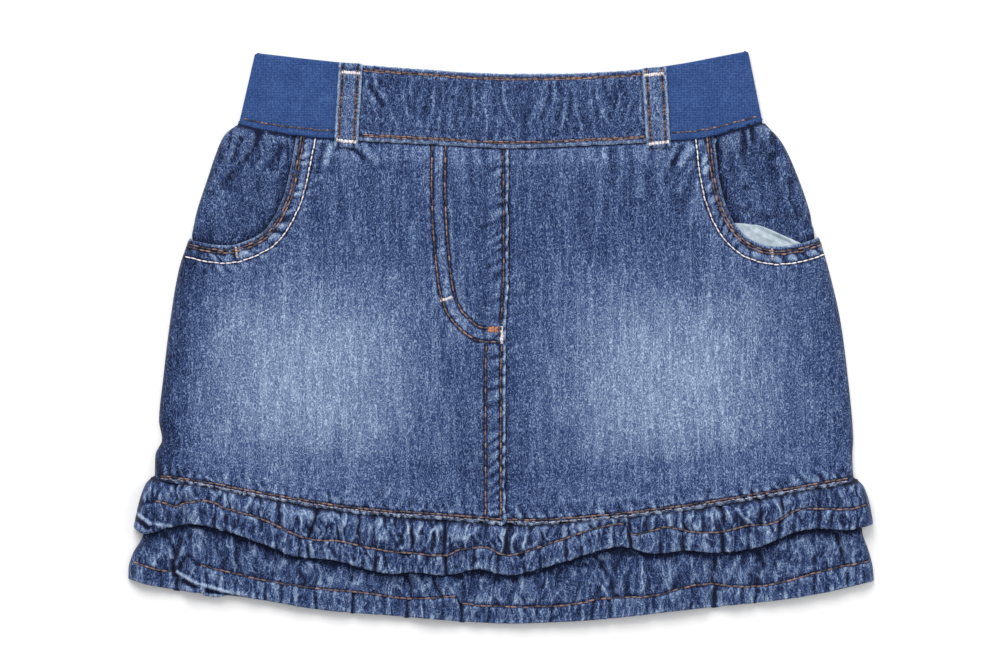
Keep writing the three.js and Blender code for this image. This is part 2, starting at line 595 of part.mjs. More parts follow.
function gather(count, waves) {
  let wander = 0;
  let stretch = 1;
  for (const { period, size, lag } of WANDER) {
    const turn = (2 * Math.PI) / period;
    wander += size * (Math.sin(turn * count + lag * waves.shift) - Math.sin(lag * waves.shift));
    stretch += size * turn * Math.cos(turn * count + lag * waves.shift);
  }
  const eased = smooth(Math.min(count, waves.fine - count) / END_EASE);
  return {
    share: (count + wander * eased) / waves.fine,
    stretch: THREE.MathUtils.clamp(stretch, STRETCH.least, STRETCH.most),
  };
}

// A gathered strip. Each point moves sideways as it rises and falls, so crests are round and troughs
// are pinched, and the fine gathers near the seam give way to broad waves at the hem.
const SIDE_STATION = 0.04;
const SIDE_CALM = 9;

function ruffle(name, rows, waves) {
  const hem = UPPER_ROWS[UPPER_ROWS.length - 1];
  const foot = rows[rows.length - 1];
  const atEdge = (row, share) => mix(row.left, row.right, share);
  const counts = shares(waves.fine * STEPS_PER_GATHER).map((share) => share * waves.fine);
  counts.splice(1, 0, SIDE_STATION);
  counts.splice(-1, 0, waves.fine - SIDE_STATION);
  const outer = counts.map((count) => {
    const { share, stretch } = gather(count, waves);
    const finePhase = 2 * Math.PI * count;
    const broadPhase = 2 * Math.PI * waves.broad * share + waves.shift;
    return rows.map((row) => {
      const x = atEdge(row, share);
      const y = ruffleY(row.down, atEdge(rows[0], share), atEdge(hem, share), atEdge(foot, share));
      const inside = Math.min(x - row.left, row.right - x);
      const calm = smooth(inside / SIDE_CALM);
      const fine = row.fine * stretch * calm;
      const broad = row.broad * calm;
      const shift = PINCH * (fine * Math.sin(finePhase) + broad * Math.sin(broadPhase));
      const high = row.height + fine * Math.cos(finePhase) + broad * Math.cos(broadPhase);
      return new THREE.Vector3(x + shift, y, turned(inside, row.low, high));
    });
  });
  return wall(name, outer, (i, j) => rows[j].wall, denimRuffle);
}

// The ruffles' back halves lie flat on the surface, the lower one over the upper one's hem
const BACK_COLUMNS = 32;
const OVER_HEM = DENIM + GAP + DENIM;
const UPPER_BACK_ROWS = [
  { down: 0, height: DENIM, left: -166, right: 169.4 },
  { down: 0.2, height: DENIM, left: -170.8, right: 173 },
  { down: 1, height: DENIM, left: -175.4, right: 177.6 },
];
const LOWER_BACK_ROWS = [
  { down: 0.012, height: OVER_HEM, left: -162, right: 165 },
  { down: 0.9, height: OVER_HEM, left: -171, right: 172.6 },
  { down: 1.12, height: DENIM, left: -173.4, right: 174 },
  { down: 1.72, height: DENIM, left: -178.6, right: 178.6 },
  { down: 2, height: DENIM, left: -179, right: 179 },
];

function ruffleBack(name, rows, yOf) {
  const outer = shares(BACK_COLUMNS).map((share) => rows.map((row) => {
    const x = (edge) => mix(edge.left + RUFFLE_INSET, edge.right - RUFFLE_INSET, share);
    return new THREE.Vector3(x(row), yOf(row.down, x(rows[0]), x(rows[rows.length - 1])), row.height);
  }));
  return wall(name, outer, () => DENIM, denimBack);
}

function upperRuffleBack() {
  return ruffleBack('ruffle_upper_back', UPPER_BACK_ROWS, (down, xBody, xHem) => (
    mix(hemSeam(xBody) - BACK_SEAM_GAP, upperHem(xHem) + UPPER_BACK_INSET, down)));
}

function lowerRuffleBack() {
  return ruffleBack('ruffle_lower_back', LOWER_BACK_ROWS, (down, xBody, xHem) => (
    ruffleY(down, xBody, xHem, xHem) + (down === 2 ? LOWER_BACK_INSET : 0)));
}

const skirt = new THREE.Group();
skirt.add(back());
skirt.add(front('front_left', 'left', POCKET_LEFT, LEFT_FRONT_FOLDS));
skirt.add(front('front_right', 'right', POCKET_RIGHT, RIGHT_FRONT_FOLDS));
skirt.add(hip('pocket_piece_left', 'left', POCKET_LEFT, LEFT_HIP_FOLDS));
skirt.add(hip('pocket_piece_right', 'right', POCKET_RIGHT, RIGHT_HIP_FOLDS));
skirt.add(pocketLining());
skirt.add(frontBand());
skirt.add(elasticBand());
for (const loop of LOOPS) skirt.add(beltLoop(loop));
skirt.add(ruffle('ruffle_upper_front', UPPER_ROWS, UPPER_WAVES));
skirt.add(upperRuffleBack());
skirt.add(ruffle('ruffle_lower_front', LOWER_ROWS, LOWER_WAVES));
skirt.add(lowerRuffleBack());

// The origin is under the middle of the whole skirt, on the surface that it lies on
const box = new THREE.Box3().setFromObject(skirt);
const middle = box.getCenter(new THREE.Vector3());
skirt.position.set(-middle.x, -middle.y, -box.min.z);

export default skirt;
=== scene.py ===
# %% [markdown]
# A child's denim skirt, laid flat and seen from straight above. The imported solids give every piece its
# place. This script makes the cloth that shows: thin shells on the solids' forms, with their gathers,
# puckers and worn ridges, and then the thread that holds them together.
#
# Everything is worked out in millimetres in the frame's own axes, X across, Y from hem to waist and Z up
# from the surface, and is turned into metres only when a mesh is made.

# %% The frame
import math

import bpy
import numpy as np
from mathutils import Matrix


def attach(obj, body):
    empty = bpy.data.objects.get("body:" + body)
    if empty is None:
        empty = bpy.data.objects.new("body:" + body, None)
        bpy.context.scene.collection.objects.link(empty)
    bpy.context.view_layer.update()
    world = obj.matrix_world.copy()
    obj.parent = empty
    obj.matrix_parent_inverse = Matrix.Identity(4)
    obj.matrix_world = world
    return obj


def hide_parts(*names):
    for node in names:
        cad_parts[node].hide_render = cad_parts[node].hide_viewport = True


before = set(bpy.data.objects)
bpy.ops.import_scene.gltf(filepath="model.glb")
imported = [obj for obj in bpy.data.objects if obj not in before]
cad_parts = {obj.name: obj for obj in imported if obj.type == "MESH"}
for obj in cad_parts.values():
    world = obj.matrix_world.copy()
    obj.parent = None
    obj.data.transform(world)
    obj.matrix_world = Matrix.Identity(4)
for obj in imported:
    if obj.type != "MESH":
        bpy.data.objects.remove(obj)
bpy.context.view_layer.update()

MM = 0.001

# %% [markdown]
# The camera looks straight down, as the photograph does. One pixel is 0.48 mm, which the belt loops'
# width gives, so the view is 484 mm wide. A short lens close by would show the thick hem larger than the
# thin body, so a long lens stands far away and keeps the layers from shifting.

# %% Camera
PIXEL = 0.48
PICTURE_WIDTH = 1008
VIEW_WIDTH = PICTURE_WIDTH * PIXEL
CAMERA_HEIGHT = 1900
VIEW_MIDDLE = (1.4, 0.7)

camera = bpy.data.objects.new("camera", bpy.data.cameras.new("camera"))
bpy.context.scene.collection.objects.link(camera)
camera.location = (VIEW_MIDDLE[0] * MM, VIEW_MIDDLE[1] * MM, CAMERA_HEIGHT * MM)
camera.data.lens = camera.data.sensor_width * CAMERA_HEIGHT / VIEW_WIDTH
camera.data.clip_start, camera.data.clip_end = 0.05, 10
bpy.context.scene.camera = camera
print("lens, in mm:", round(camera.data.lens, 1))

# %% [markdown]
# Colours are easiest to choose as they look on a screen, from 0 to 255, but a shader works in light, where
# twice the number is twice the light. So each colour is written as the screen has it and turned here.

# %% Screen colours
def linear(red, green, blue):
    """A screen colour as light: value / 12.92 when dark, else ((value + 0.055) / 1.055)^2.4, and opaque."""
    values = np.array([red, green, blue]) / 255
    low = values / 12.92
    high = ((values + 0.055) / 1.055) ** 2.4
    return (*np.where(values <= 0.04045, low, high).tolist(), 1.0)


print("middle grey as light:", round(linear(128, 128, 128)[0], 3))

# %% [markdown]
# A cut-out on white has a bright floor and one soft shadow under the hem. A sun would draw that shadow
# hard and the world alone would draw none, so a large soft lamp stands beyond the waistband and throws it
# towards the hem, a weak one fills the right side, and the world does the rest.

# %% Lamps
# Columns: name, place, target, size, all in metres, and power in watts
LAMPS = [
    ("key", (-0.25, 0.95, 1.1), (0, -0.02, 0), 0.9, 17),
    ("side", (0.9, 0.2, 0.9), (0, 0, 0), 0.7, 3),
]
WORLD_STRENGTH = 0.62


def area_light(name, place, target, size, power):
    """A square soft lamp: tilted by the slope of the line to its target and turned by that line's heading."""
    lamp = bpy.data.objects.new(name, bpy.data.lights.new(name, "AREA"))
    lamp.data.size = size
    lamp.data.energy = power
    lamp.location = place
    aim = np.array(target) - np.array(place)
    tilt = math.pi / 2 + math.atan2(aim[2], math.hypot(aim[0], aim[1]))
    heading = math.atan2(aim[1], aim[0]) - math.pi / 2
    lamp.rotation_euler = (tilt, 0, heading)
    bpy.context.scene.collection.objects.link(lamp)


for lamp_row in LAMPS:
    area_light(*lamp_row)

world = bpy.data.worlds.new("studio")
world.use_nodes = True
sky = world.node_tree.nodes["Background"]
sky.inputs["Color"].default_value = (1, 1, 1, 1)
sky.inputs["Strength"].default_value = WORLD_STRENGTH
bpy.context.scene.world = world
bpy.context.scene.view_settings.view_transform = "Standard"
print("lamps:", [row[0] for row in LAMPS], "world:", WORLD_STRENGTH)

# %% [markdown]
# The floor is a plain sheet of white paper, wide enough that its edge is never seen. It lies a fifth of a
# millimetre low, so that it doesn't fight with the cloth that rests on it.

# %% Floor
FLOOR_HALF = 3.0
FLOOR_DROP = 0.0002
PAPER_WHITE = 0.93

paper = bpy.data.materials.new("paper")
paper.use_nodes = True
paper_body = paper.node_tree.nodes["Principled BSDF"]
paper_body.inputs["Base Color"].default_value = (PAPER_WHITE, PAPER_WHITE, PAPER_WHITE, 1)
paper_body.inputs["Roughness"].default_value = 0.9

floor_mesh = bpy.data.meshes.new("floor")
corners = [(-FLOOR_HALF, -FLOOR_HALF, 0), (FLOOR_HALF, -FLOOR_HALF, 0),
           (FLOOR_HALF, FLOOR_HALF, 0), (-FLOOR_HALF, FLOOR_HALF, 0)]
floor_mesh.from_pydata(corners, [], [(0, 1, 2, 3)])
floor_mesh.materials.append(paper)
floor = bpy.data.objects.new("floor", floor_mesh)
bpy.context.scene.collection.objects.link(floor)
floor.location.z = -FLOOR_DROP
print("floor, in metres across:", 2 * FLOOR_HALF)

# %% [markdown]
# Cloth has few straight edges. Each could be a drawn curve object, but a short table of places is easier
# to read and to change, and two pieces can share it. A value is read from a table with a cubic whose slope
# at each row is the slope between its neighbours, which is how the solids were drawn too.

# %% Reading curves
OVERRUN = 0.2


def smooth(t):
    """3t^2 - 2t^3, held at 0 below t = 0 and at 1 above t = 1."""
    t = np.clip(t, 0, 1)
    return t * t * (3 - 2 * t)


def read(table, at, key=0, value=1):
    """Column `value` as a cubic of column `key`, with each row's slope the one between its neighbours.

    Past the first and last row it runs on for a short way, OVERRUN of a step, and is then held."""
    table = np.asarray(table, float)
    if table[-1, key] < table[0, key]:
        table = table[::-1]
    keys, values = table[:, key], table[:, value]
    before = np.r_[0, np.arange(len(keys) - 1)]
    after = np.r_[np.arange(1, len(keys)), len(keys) - 1]
    slopes = (values[after] - values[before]) / (keys[after] - keys[before])
    at = np.asarray(at, float)
    i = np.clip(np.searchsorted(keys, at, side="right") - 1, 0, len(keys) - 2)
    span = keys[i + 1] - keys[i]
    t = np.clip((at - keys[i]) / span, -OVERRUN, 1 + OVERRUN)
    step = t * t * (3 - 2 * t)
    bend = span * t * (1 - t) * (slopes[i] * (1 - t) - slopes[i + 1] * t)
    return values[i] + (values[i + 1] - values[i]) * step + bend


def even(points, count):
    """`count` points at equal steps along the smooth curve through `points`: the curve is read finely by
    the length of its chords, and its own length is then divided evenly."""
    points = np.asarray(points, float)
    chord = np.r_[0, np.cumsum(np.hypot(*np.diff(points, axis=0).T))]
    fine = np.linspace(0, chord[-1], 400)
    curve = np.stack([read(np.c_[chord, points[:, k]], fine) for k in (0, 1)], axis=1)
    length = np.r_[0, np.cumsum(np.hypot(*np.diff(curve, axis=0).T))]
    steps = np.linspace(0, length[-1], count)
    return np.stack([np.interp(steps, length, curve[:, k]) for k in (0, 1)], axis=1)


def beside(path, distance):
    """The path moved to its left by `distance`, one number or one for each point: along its normal."""
    along = np.gradient(path, axis=0)
    along /= np.hypot(*along.T)[:, None]
    return path + np.c_[-along[:, 1], along[:, 0]] * np.reshape(distance, (-1, 1))


print("a cubic through 0, 1, 0 at a quarter:", round(float(read([(0, 0), (1, 1), (2, 0)], 0.5)), 3))

# %% [markdown]
# These are the skirt's edges: the waistband's two, the pocket mouths, the lap at the centre, the hem seam,
# the ruffles' hems and the turned sides. A piece could have an outline of its own, but neighbours that
# are sewn together would then drift apart, so every piece takes its edges from here.

# %% Edges, in millimetres
# Columns: x, y
WAIST_TOP = [(-118.1, 135.6), (-77, 131), (-50, 128.6), (0, 125.6), (47, 126.3), (78, 129.1),
             (118.6, 136.5)]
WAIST_BOTTOM = [(-126, 102.2), (-106, 98.2), (-77, 95.4), (-28, 92.9), (3, 91.3), (47, 92.9), (81, 94.8),
                (99, 96.5), (126, 103.7)]
POCKET_MOUTH = {
    "left": [(-149.6, 46.6), (-138, 44.2), (-127.2, 44.4), (-113, 51.5), (-104.4, 66), (-100.8, 79.4),
             (-97.4, 97.3)],
    "right": [(152.6, 47.5), (142.1, 44.3), (129.6, 43.4), (118.6, 47.3), (109.9, 57.8), (104.6, 74.2),
              (101.8, 96.8)],
}
CENTRE_EDGE = [(3.1, 92), (3.1, 31), (1.8, 4), (1.5, -90)]
HEM_SEAM = [(-166, -67.4), (-144.5, -70.3), (-120.5, -74.9), (-72.5, -82.8), (-24.5, -86.6),
            (1.9, -88.6), (23.5, -88.6), (71.5, -84.2), (119.5, -77), (169.5, -68.4)]
UPPER_HEM = [(-176.4, -90.5), (-171.5, -93.4), (-158.9, -91), (-146.4, -89), (-129.1, -93.2),
             (-109.4, -100.1), (-98.9, -104.4), (-77.8, -106.6), (-64.8, -110.6), (-53.3, -112.6),
             (-40.8, -112.1), (-26.4, -113.5), (-11, -110.6), (4.3, -113.5), (25.9, -108.2),
             (55.7, -99.9), (71.5, -103), (87.8, -101.8), (104.6, -102.7), (121.9, -100.1),
             (145.4, -91.6), (166.6, -91.8), (178.6, -89)]
LOWER_HEM = [(-179, -115.4), (-167.5, -118.8), (-144.5, -122.2), (-121.4, -124.6), (-86.9, -130.3),
             (-52.3, -133.2), (-17.8, -136), (5.3, -137), (39.8, -135.6), (62.9, -133.4), (97.4, -129.4),
             (132, -125.9), (155, -122.1), (179, -116.4)]

# Columns: y, left x, right x
SIDE_COLUMN = {"left": 1, "right": 2}
HIP_SIDE = [(102.5, -126, 125.4), (98, -132, 131.2), (91, -135.8, 136.3), (75.6, -141.1, 143),
            (60, -146.2, 148.2), (52, -147.6, 149.4), (47, -147.6, 149.6), (43, -145.2, 147.8),
            (36, -144.6, 147.4)]
BODY_SIDE = [(47.5, -149.8, 152.8), (32.4, -154.7, 157.3), (8.4, -158.8, 162.8), (-20.4, -162.3, 166.6),
             (-39.6, -164.2, 168.5), (-49.2, -162.8, 169), (-55.5, -165.7, 168.6), (-61, -166.1, 168.7),
             (-69, -166.2, 169.3)]


def from_side(side, x, y, hand, lowest, highest):
    """How far inside a turned side each point lies: |x - side's x|, with the side held past both ends."""
    return np.abs(x - read(side, np.clip(y, lowest, highest), 0, SIDE_COLUMN[hand]))


def along_table(table, first, last, count=160, above=0.0):
    """A path in even steps of x from first to last, with y read from a table and raised by `above`."""
    x = np.linspace(first, last, count)
    return np.c_[x, read(table, x) + above]


waist_path = along_table(WAIST_BOTTOM, -126, 126, 120)
hem_path = along_table(HEM_SEAM, -166, 169.4, 120)
print("hem seam, in mm across:", round(HEM_SEAM[-1][0] - HEM_SEAM[0][0], 1))

# %% [markdown]
# Creases in worn denim are sharp while the cloth between them is round. Sculpting them by hand would give
# the same look once, for one size. Noise can be placed by a formula instead, and its size, without its
# sign, is just what worn cloth does: round where the noise is large, and a V where it crosses zero.

# %% Noise
def noise(x, y, seed):
    """Smooth noise from -1 to 1: random slopes at whole numbers of x and y, blended between them."""
    table = np.random.default_rng(seed).permutation(256)
    turn = np.random.default_rng(seed + 1000).uniform(0, 2 * np.pi, 256)
    x, y = np.broadcast_arrays(np.asarray(x, float), np.asarray(y, float))
    left, low = np.floor(x).astype(int), np.floor(y).astype(int)
    u, v = x - left, y - low

    def corner(dx, dy):
        """The slope that belongs to one corner of the square, as a height at (u, v)."""
        angle = turn[table[(table[(left + dx) % 256] + low + dy) % 256]]
        return np.cos(angle) * (u - dx) + np.sin(angle) * (v - dy)

    over, up = smooth(u), smooth(v)
    below = corner(0, 0) * (1 - over) + corner(1, 0) * over
    above = corner(0, 1) * (1 - over) + corner(1, 1) * over
    return 1.4 * (below * (1 - up) + above * up)


def billow(x, y, seed):
    """Round puffs parted by sharp creases, from 0 in a crease to about 1: the size of the noise."""
    return np.abs(noise(x, y, seed)) ** 0.8


def crest(x, y, seed, steep=5):
    """Thin sharp ridges parted by wide hollows, 1 on a ridge: one less the size of the noise, steeply."""
    return np.maximum(1 - np.abs(noise(x, y, seed)), 0) ** steep


def fade(distance, reach, power=2):
    """1 at no distance and 1/e at `reach`: exp(-(distance / reach)^power)."""
    return np.exp(-(distance / reach) ** power)


print("noise over a 9 by 9 field:", np.round(noise(*np.mgrid[0:9:0.5, 0:9:0.5], 1).std(), 2))

# %% [markdown]
# A sewn row draws the cloth together, so small puffs, called roping, stand beside it and slant along it.
# A map painted by hand could hold them, but then it would not follow when an edge is moved. So each point
# of the cloth is told how far it is from the row, how far along and on which side, and the puffs are noise
# of those three.

# %% Distance, roping and folds
def nearest(path, x, y):
    """Distance from each point to the path, how far along the path that is, and which side it is on."""
    x, y = np.asarray(x, float), np.asarray(y, float)
    start, step = path[:-1], np.diff(path, axis=0)
    size = np.hypot(*step.T)
    length = np.r_[0, np.cumsum(size)]
    dx, dy = x[..., None] - start[:, 0], y[..., None] - start[:, 1]
    share = np.clip((dx * step[:, 0] + dy * step[:, 1]) / size ** 2, 0, 1)
    away = np.hypot(dx - share * step[:, 0], dy - share * step[:, 1])
    best = away.argmin(axis=-1)[..., None]
    side = np.sign(step[:, 0] * dy - step[:, 1] * dx)

    def chosen(values):
        """The value that belongs to the nearest stretch of the path."""
        return np.take_along_axis(values, best, axis=-1)[..., 0]

    return chosen(away), chosen(length[:-1] + share * size), chosen(side)


def puckers(path, x, y, pitch, height, reach, seed):
    """Roping beside a sewn row: slanted puffs along the path that fade out over `reach`."""
    away, along, side = nearest(path, x, y)
    puff = billow((along + 0.5 * away * side) / pitch, away / (2.5 * pitch) + 3 * side, seed)
    return height * (puff - 0.3) * fade(away, reach)


def beside_rows(paths, x, y, reach):
    """How close each point is to the nearest of some sewn rows: 1 on a row, fading over `reach`."""
    away = np.min([nearest(path, x, y)[0] for path in paths], axis=0)
    return fade(away, reach)


def folds(table, x, y):
    """The sum of soft ridges and troughs along straight lines: height * exp(-(distance / width)^2)."""
    total = np.zeros(np.shape(x))
    for x1, y1, x2, y2, width, height in table:
        dx, dy = x2 - x1, y2 - y1
        share = np.clip(((x - x1) * dx + (y - y1) * dy) / (dx * dx + dy * dy), 0, 1)
        away = np.hypot(x - x1 - dx * share, y - y1 - dy * share)
        total += height * fade(away, width)
    return total


one_fold = folds([(0, 0, 10, 0, 2, 1)], np.array([5.0, 5.0]), np.array([0.0, 2.0]))
print("one fold on its line and one width away:", np.round(one_fold, 2))

# %% [markdown]
# A cloth piece is a grid of points on its upper face. A Solidify modifier could give it a thickness, but
# its rim would be flat and sharp. So the shell adds its own lower face one wall beneath, set in along the
# grid's normal, and joins the two with a rounded rim, so that a cut edge catches light as folded cloth
# does.

# %% Meshes


def normals(points):
    """Unit normals of a grid of points, from the cross product of its two directions."""
    over, down = np.gradient(points, axis=0), np.gradient(points, axis=1)
    normal = np.cross(down, over)
    return normal / np.maximum(np.linalg.norm(normal, axis=-1, keepdims=True), 1e-9)


def border(columns, rows):
    """Grid places round the border, once round, as two index arrays."""
    top = [(i, 0) for i in range(columns)]
    right = [(columns - 1, j) for j in range(1, rows)]
    bottom = [(i, rows - 1) for i in range(columns - 2, -1, -1)]
    left = [(0, j) for j in range(rows - 2, 0, -1)]
    return np.array(top + right + bottom + left).T


def mesh_object(name, points, quads, material, values=None):
    """A mesh from arrays of points, in millimetres, and of four-cornered faces."""
    mesh = bpy.data.meshes.new(name)
    mesh.vertices.add(len(points))
    mesh.vertices.foreach_set("co", (np.asarray(points, float) * MM).ravel())
    mesh.loops.add(quads.size)
    mesh.loops.foreach_set("vertex_index", quads.ravel().astype(np.int32))
    mesh.polygons.add(len(quads))
    mesh.polygons.foreach_set("loop_start", np.arange(0, quads.size, 4, dtype=np.int32))
    mesh.update(calc_edges=True)
    mesh.polygons.foreach_set("use_smooth", np.ones(len(quads), bool))
    for key, value in (values or {}).items():
        mesh.attributes.new(key, "FLOAT", "POINT").data.foreach_set("value", value.astype(np.float32))
    mesh.validate()
    mesh.materials.append(material)
    piece = bpy.data.objects.new(name, mesh)
    bpy.context.scene.collection.objects.link(piece)
    return piece


def grid_faces(number):
    """Faces between the numbered points of a grid, turned to face up."""
    a, b, c, d = number[:-1, :-1], number[:-1, 1:], number[1:, 1:], number[1:, :-1]
    return np.stack([a, b, c, d], axis=-1).reshape(-1, 4)


print("border of a 4 by 3 grid:", border(4, 3).shape[1], "points")

# %% [markdown]
# Wear is worked out from the shell's own height. Painting it by hand would miss the small ridges, and
# they are what makes cloth look washed: whatever stands above its surroundings has been rubbed pale.

# %% Shells and wear
RIM = 0.35


def shell(name, top, wall, material, wear_and_shade, inner=None, rim_wear=0.25):
    """A closed piece of cloth: the grid `top`, a face one wall beneath it and a rim between, whose
    middle stands RIM of the thickness outwards. The rim's value of wear and painted shade is the edge's
    plus `rim_wear`."""
    columns, rows = top.shape[:2]
    count = columns * rows
    if inner is None:
        inner = top - normals(top) * np.broadcast_to(wall, (columns, rows))[..., None]
    inner[..., 2] = np.maximum(inner[..., 2], 0)
    i, j = border(columns, rows)
    middle = (top[i, j] + inner[i, j]) / 2
    inward = top[np.clip(i, 1, columns - 2), np.clip(j, 1, rows - 2)] - top[i, j]
    outward = -inward / np.maximum(np.linalg.norm(inward, axis=1, keepdims=True), 1e-9)
    thick = np.linalg.norm(top[i, j] - inner[i, j], axis=1, keepdims=True)
    rim = middle + outward * thick * RIM
    rim[:, 2] = np.maximum(rim[:, 2], 0)
    points = np.concatenate([top.reshape(-1, 3), inner.reshape(-1, 3), rim])
    upper = np.arange(count).reshape(columns, rows)
    lower = upper + count
    ring = 2 * count + np.arange(len(i))
    following = np.roll(ring, -1)
    i2, j2 = np.roll(i, -1), np.roll(j, -1)
    faces = [
        grid_faces(upper), grid_faces(lower)[:, ::-1],
        np.stack([upper[i, j], upper[i2, j2], following, ring], axis=1),
        np.stack([ring, following, lower[i2, j2], lower[i, j]], axis=1),
    ]
    values = {"wear_and_shade": np.concatenate([wear_and_shade.ravel(), wear_and_shade.ravel(), wear_and_shade[i, j] + rim_wear])}
    piece = mesh_object(name, points, np.concatenate(faces), material, values)
    print(name, "triangles:", 2 * len(piece.data.polygons))
    return piece


def blurred(values, size):
    """Values averaged over a square of 2 * size + 1 grid steps, with the edges held: running sums."""
    span = 2 * size + 1
    for axis in (0, 1):
        pads = [(0, 0), (0, 0)]
        pads[axis] = (size + 1, size)
        total = np.cumsum(np.pad(values, pads, mode="edge"), axis=axis)
        count = total.shape[axis] - span
        ahead = np.take(total, np.arange(span, span + count), axis)
        behind = np.take(total, np.arange(count), axis)
        values = (ahead - behind) / span
    return values


def worn(height, size, strength):
    """Wear follows height: ridges rub pale and creases stay dark, by height less its average nearby."""
    return np.clip(strength * (height - blurred(height, size)), -0.3, 0.3)


def patch(top, bottom, left, right, v=None):
    """A four-sided sheet from its four edges: edge-to-edge blends both ways, less the corners' blend."""
    u = np.linspace(0, 1, len(top))[:, None, None]
    v = (np.linspace(0, 1, len(left)) if v is None else v)[None, :, None]
    both = top[:, None] * (1 - v) + bottom[:, None] * v + left[None] * (1 - u) + right[None] * u
    corners = (top[0] * (1 - u) + top[-1] * u) * (1 - v) + (bottom[0] * (1 - u) + bottom[-1] * u) * v
    return both - corners


print("rim stands out by", RIM, "of the cloth's thickness")

# %% [markdown]
# Every material is a small network of nodes that works from Object coordinates, so the pattern sits in the
# cloth itself and needs no picture. These helpers write the network in few lines.

# %% Nodes
SHADER = "Principled BSDF"


def shader(name):
    """A new material: itself, its tree, its shader node and a helper that adds a node."""
    material = bpy.data.materials.new(name)
    material.use_nodes = True
    tree = material.node_tree

    def add(kind, inputs=None, **settings):
        """One node of a kind, with its settings, and its inputs set to values or joined to other nodes."""
        node = tree.nodes.new("ShaderNode" + kind)
        for key, value in settings.items():
            setattr(node, key, value)
        for key, value in (inputs or {}).items():
            if isinstance(value, bpy.types.NodeSocket):
                tree.links.new(value, node.inputs[key])
            else:
                node.inputs[key].default_value = value
        return node

    return material, tree, tree.nodes[SHADER], add


def ramp(add, value, stops):
    """A colour ramp through (place, colour) stops."""
    node = add("ValToRGB", {"Fac": value})
    elements = node.color_ramp.elements
    while len(elements) > 1:
        elements.remove(elements[-1])
    elements[0].position, elements[0].color = stops[0]
    for place, colour in stops[1:]:
        elements.new(place).color = colour
    return node.outputs["Color"]


def maths(add, operation, a, b):
    """One Math node: the operation on a and b, each a number or another node's output."""
    return add("Math", {0: a, 1: b}, operation=operation).outputs[0]


def yarn_noise(add, place, scale, detail=2.0, distortion=0.0):
    """Noise stretched by a different scale along x, y and z, in steps per millimetre."""
    stretched = add("Mapping", {"Vector": place, "Scale": [s / MM for s in scale]}).outputs["Vector"]
    inputs = {"Vector": stretched, "Scale": 1.0, "Detail": detail, "Distortion": distortion}
    return add("TexNoise", inputs).outputs["Fac"]


def wave(add, place, scale, **more):
    """A fine wave, in steps per millimetre, with the wave node's other inputs and settings."""
    direction = more.pop("direction", "X")
    inputs = {"Vector": place, "Scale": scale / MM, "Detail": 1.0, **more}
    return add("TexWave", inputs, bands_direction=direction).outputs["Fac"]


def relief(tree, body, add, height, strength, depth):
    """Bumps of `depth` millimetres from the pattern `height`, joined to the shader."""
    bump = add("Bump", {"Height": height, "Strength": strength, "Distance": depth * MM})
    tree.links.new(bump.outputs["Normal"], body.inputs["Normal"])


print("material helpers ready, with one millimetre as", MM, "m")

# %% [markdown]
# Washed denim is not one blue. White weft shows through a dark warp, uneven yarns leave pale vertical
# streaks, and rubbing bleaches whatever stands proud. So one number is carried on the mesh for the wear of
# that place and for painted shade: painted shadows under the waistband, beside the lap, at the pocket
# mouths and under the hem seam, painted shade in the ruffles' creases and beside sewn rows, and a painted
# lift of light where the lower ruffle lies in the upper one's shadow. The material adds the yarns to it,
# and a colour ramp turns the sum into blue.
# Separate colours mixed by masks would do it too, but then every mask would need its own blue.

# %% Denim
# Columns: share, colour
DENIM_STOPS = [
    (0.0, linear(8, 17, 44)), (0.2, linear(31, 51, 93)), (0.4, linear(65, 84, 126)),
    (0.6, linear(106, 125, 158)), (0.8, linear(134, 154, 183)), (1.0, linear(170, 188, 212)),
]
CLOUD_STRENGTH = 0.10
GRAIN_STRENGTH = 0.55
LINE_SHARPNESS = 16.0
MAZE_SHARPNESS = 3.0


def denim(name, base, streaks, lines, line_length, maze_strength):
    """Denim: wear and painted shade + base + pale vertical yarns + thin pale lines + a maze of pale threads
    + fine grain.

    Each pattern has its own average taken off, so that its strength doesn't change the blue."""
    material, tree, body, add = shader(name)
    place = add("TexCoord").outputs["Object"]
    wear_and_shade = add("Attribute", attribute_name="wear_and_shade").outputs["Fac"]
    slub = yarn_noise(add, place, (2.3, 0.05, 0.3), 1.5)
    cloud = yarn_noise(add, place, (0.12, 0.09, 0.1), 3.0)
    grain = yarn_noise(add, place, (1.9, 1.5, 1.5), 1.0)
    curl = yarn_noise(add, place, (0.26, 1 / line_length, 0.1), 1.5, 0.6)
    bent = maths(add, "ABSOLUTE", maths(add, "SUBTRACT", curl, 0.5), 0.0)
    narrow = maths(add, "SUBTRACT", 1.0, maths(add, "MULTIPLY", bent, LINE_SHARPNESS))
    line = maths(add, "MAXIMUM", narrow, 0.0)
    upright = add("Mapping", {"Vector": place, "Scale": (1.0, 0.6, 1.0)}).outputs["Vector"]
    threads = wave(add, upright, 0.15, **{"Distortion": 17.0, "Detail Scale": 3.4})
    maze = maths(add, "POWER", threads, MAZE_SHARPNESS)
    patterns = [
        # pattern, its average, strength
        (slub, 0.5, streaks), (line, 0.15, lines), (cloud, 0.5, CLOUD_STRENGTH),
        (maze, 0.31, maze_strength), (grain, 0.5, GRAIN_STRENGTH),
    ]
    total = maths(add, "ADD", wear_and_shade, base)
    for pattern, average, strength in patterns:
        centred = maths(add, "SUBTRACT", pattern, average)
        total = maths(add, "ADD", total, maths(add, "MULTIPLY", centred, strength))
    tree.links.new(ramp(add, total, DENIM_STOPS), body.inputs["Base Color"])
    height = maths(add, "ADD", maths(add, "MULTIPLY", maze, 0.5), maths(add, "MULTIPLY", grain, 0.9))
    height = maths(add, "ADD", height, maths(add, "MULTIPLY", slub, 0.5))
    relief(tree, body, add, height, 0.6, 0.35)
    body.inputs["Roughness"].default_value = 0.88
    body.inputs["Specular IOR Level"].default_value = 0.2
    body.inputs["Sheen Weight"].default_value = 0.08
    return material


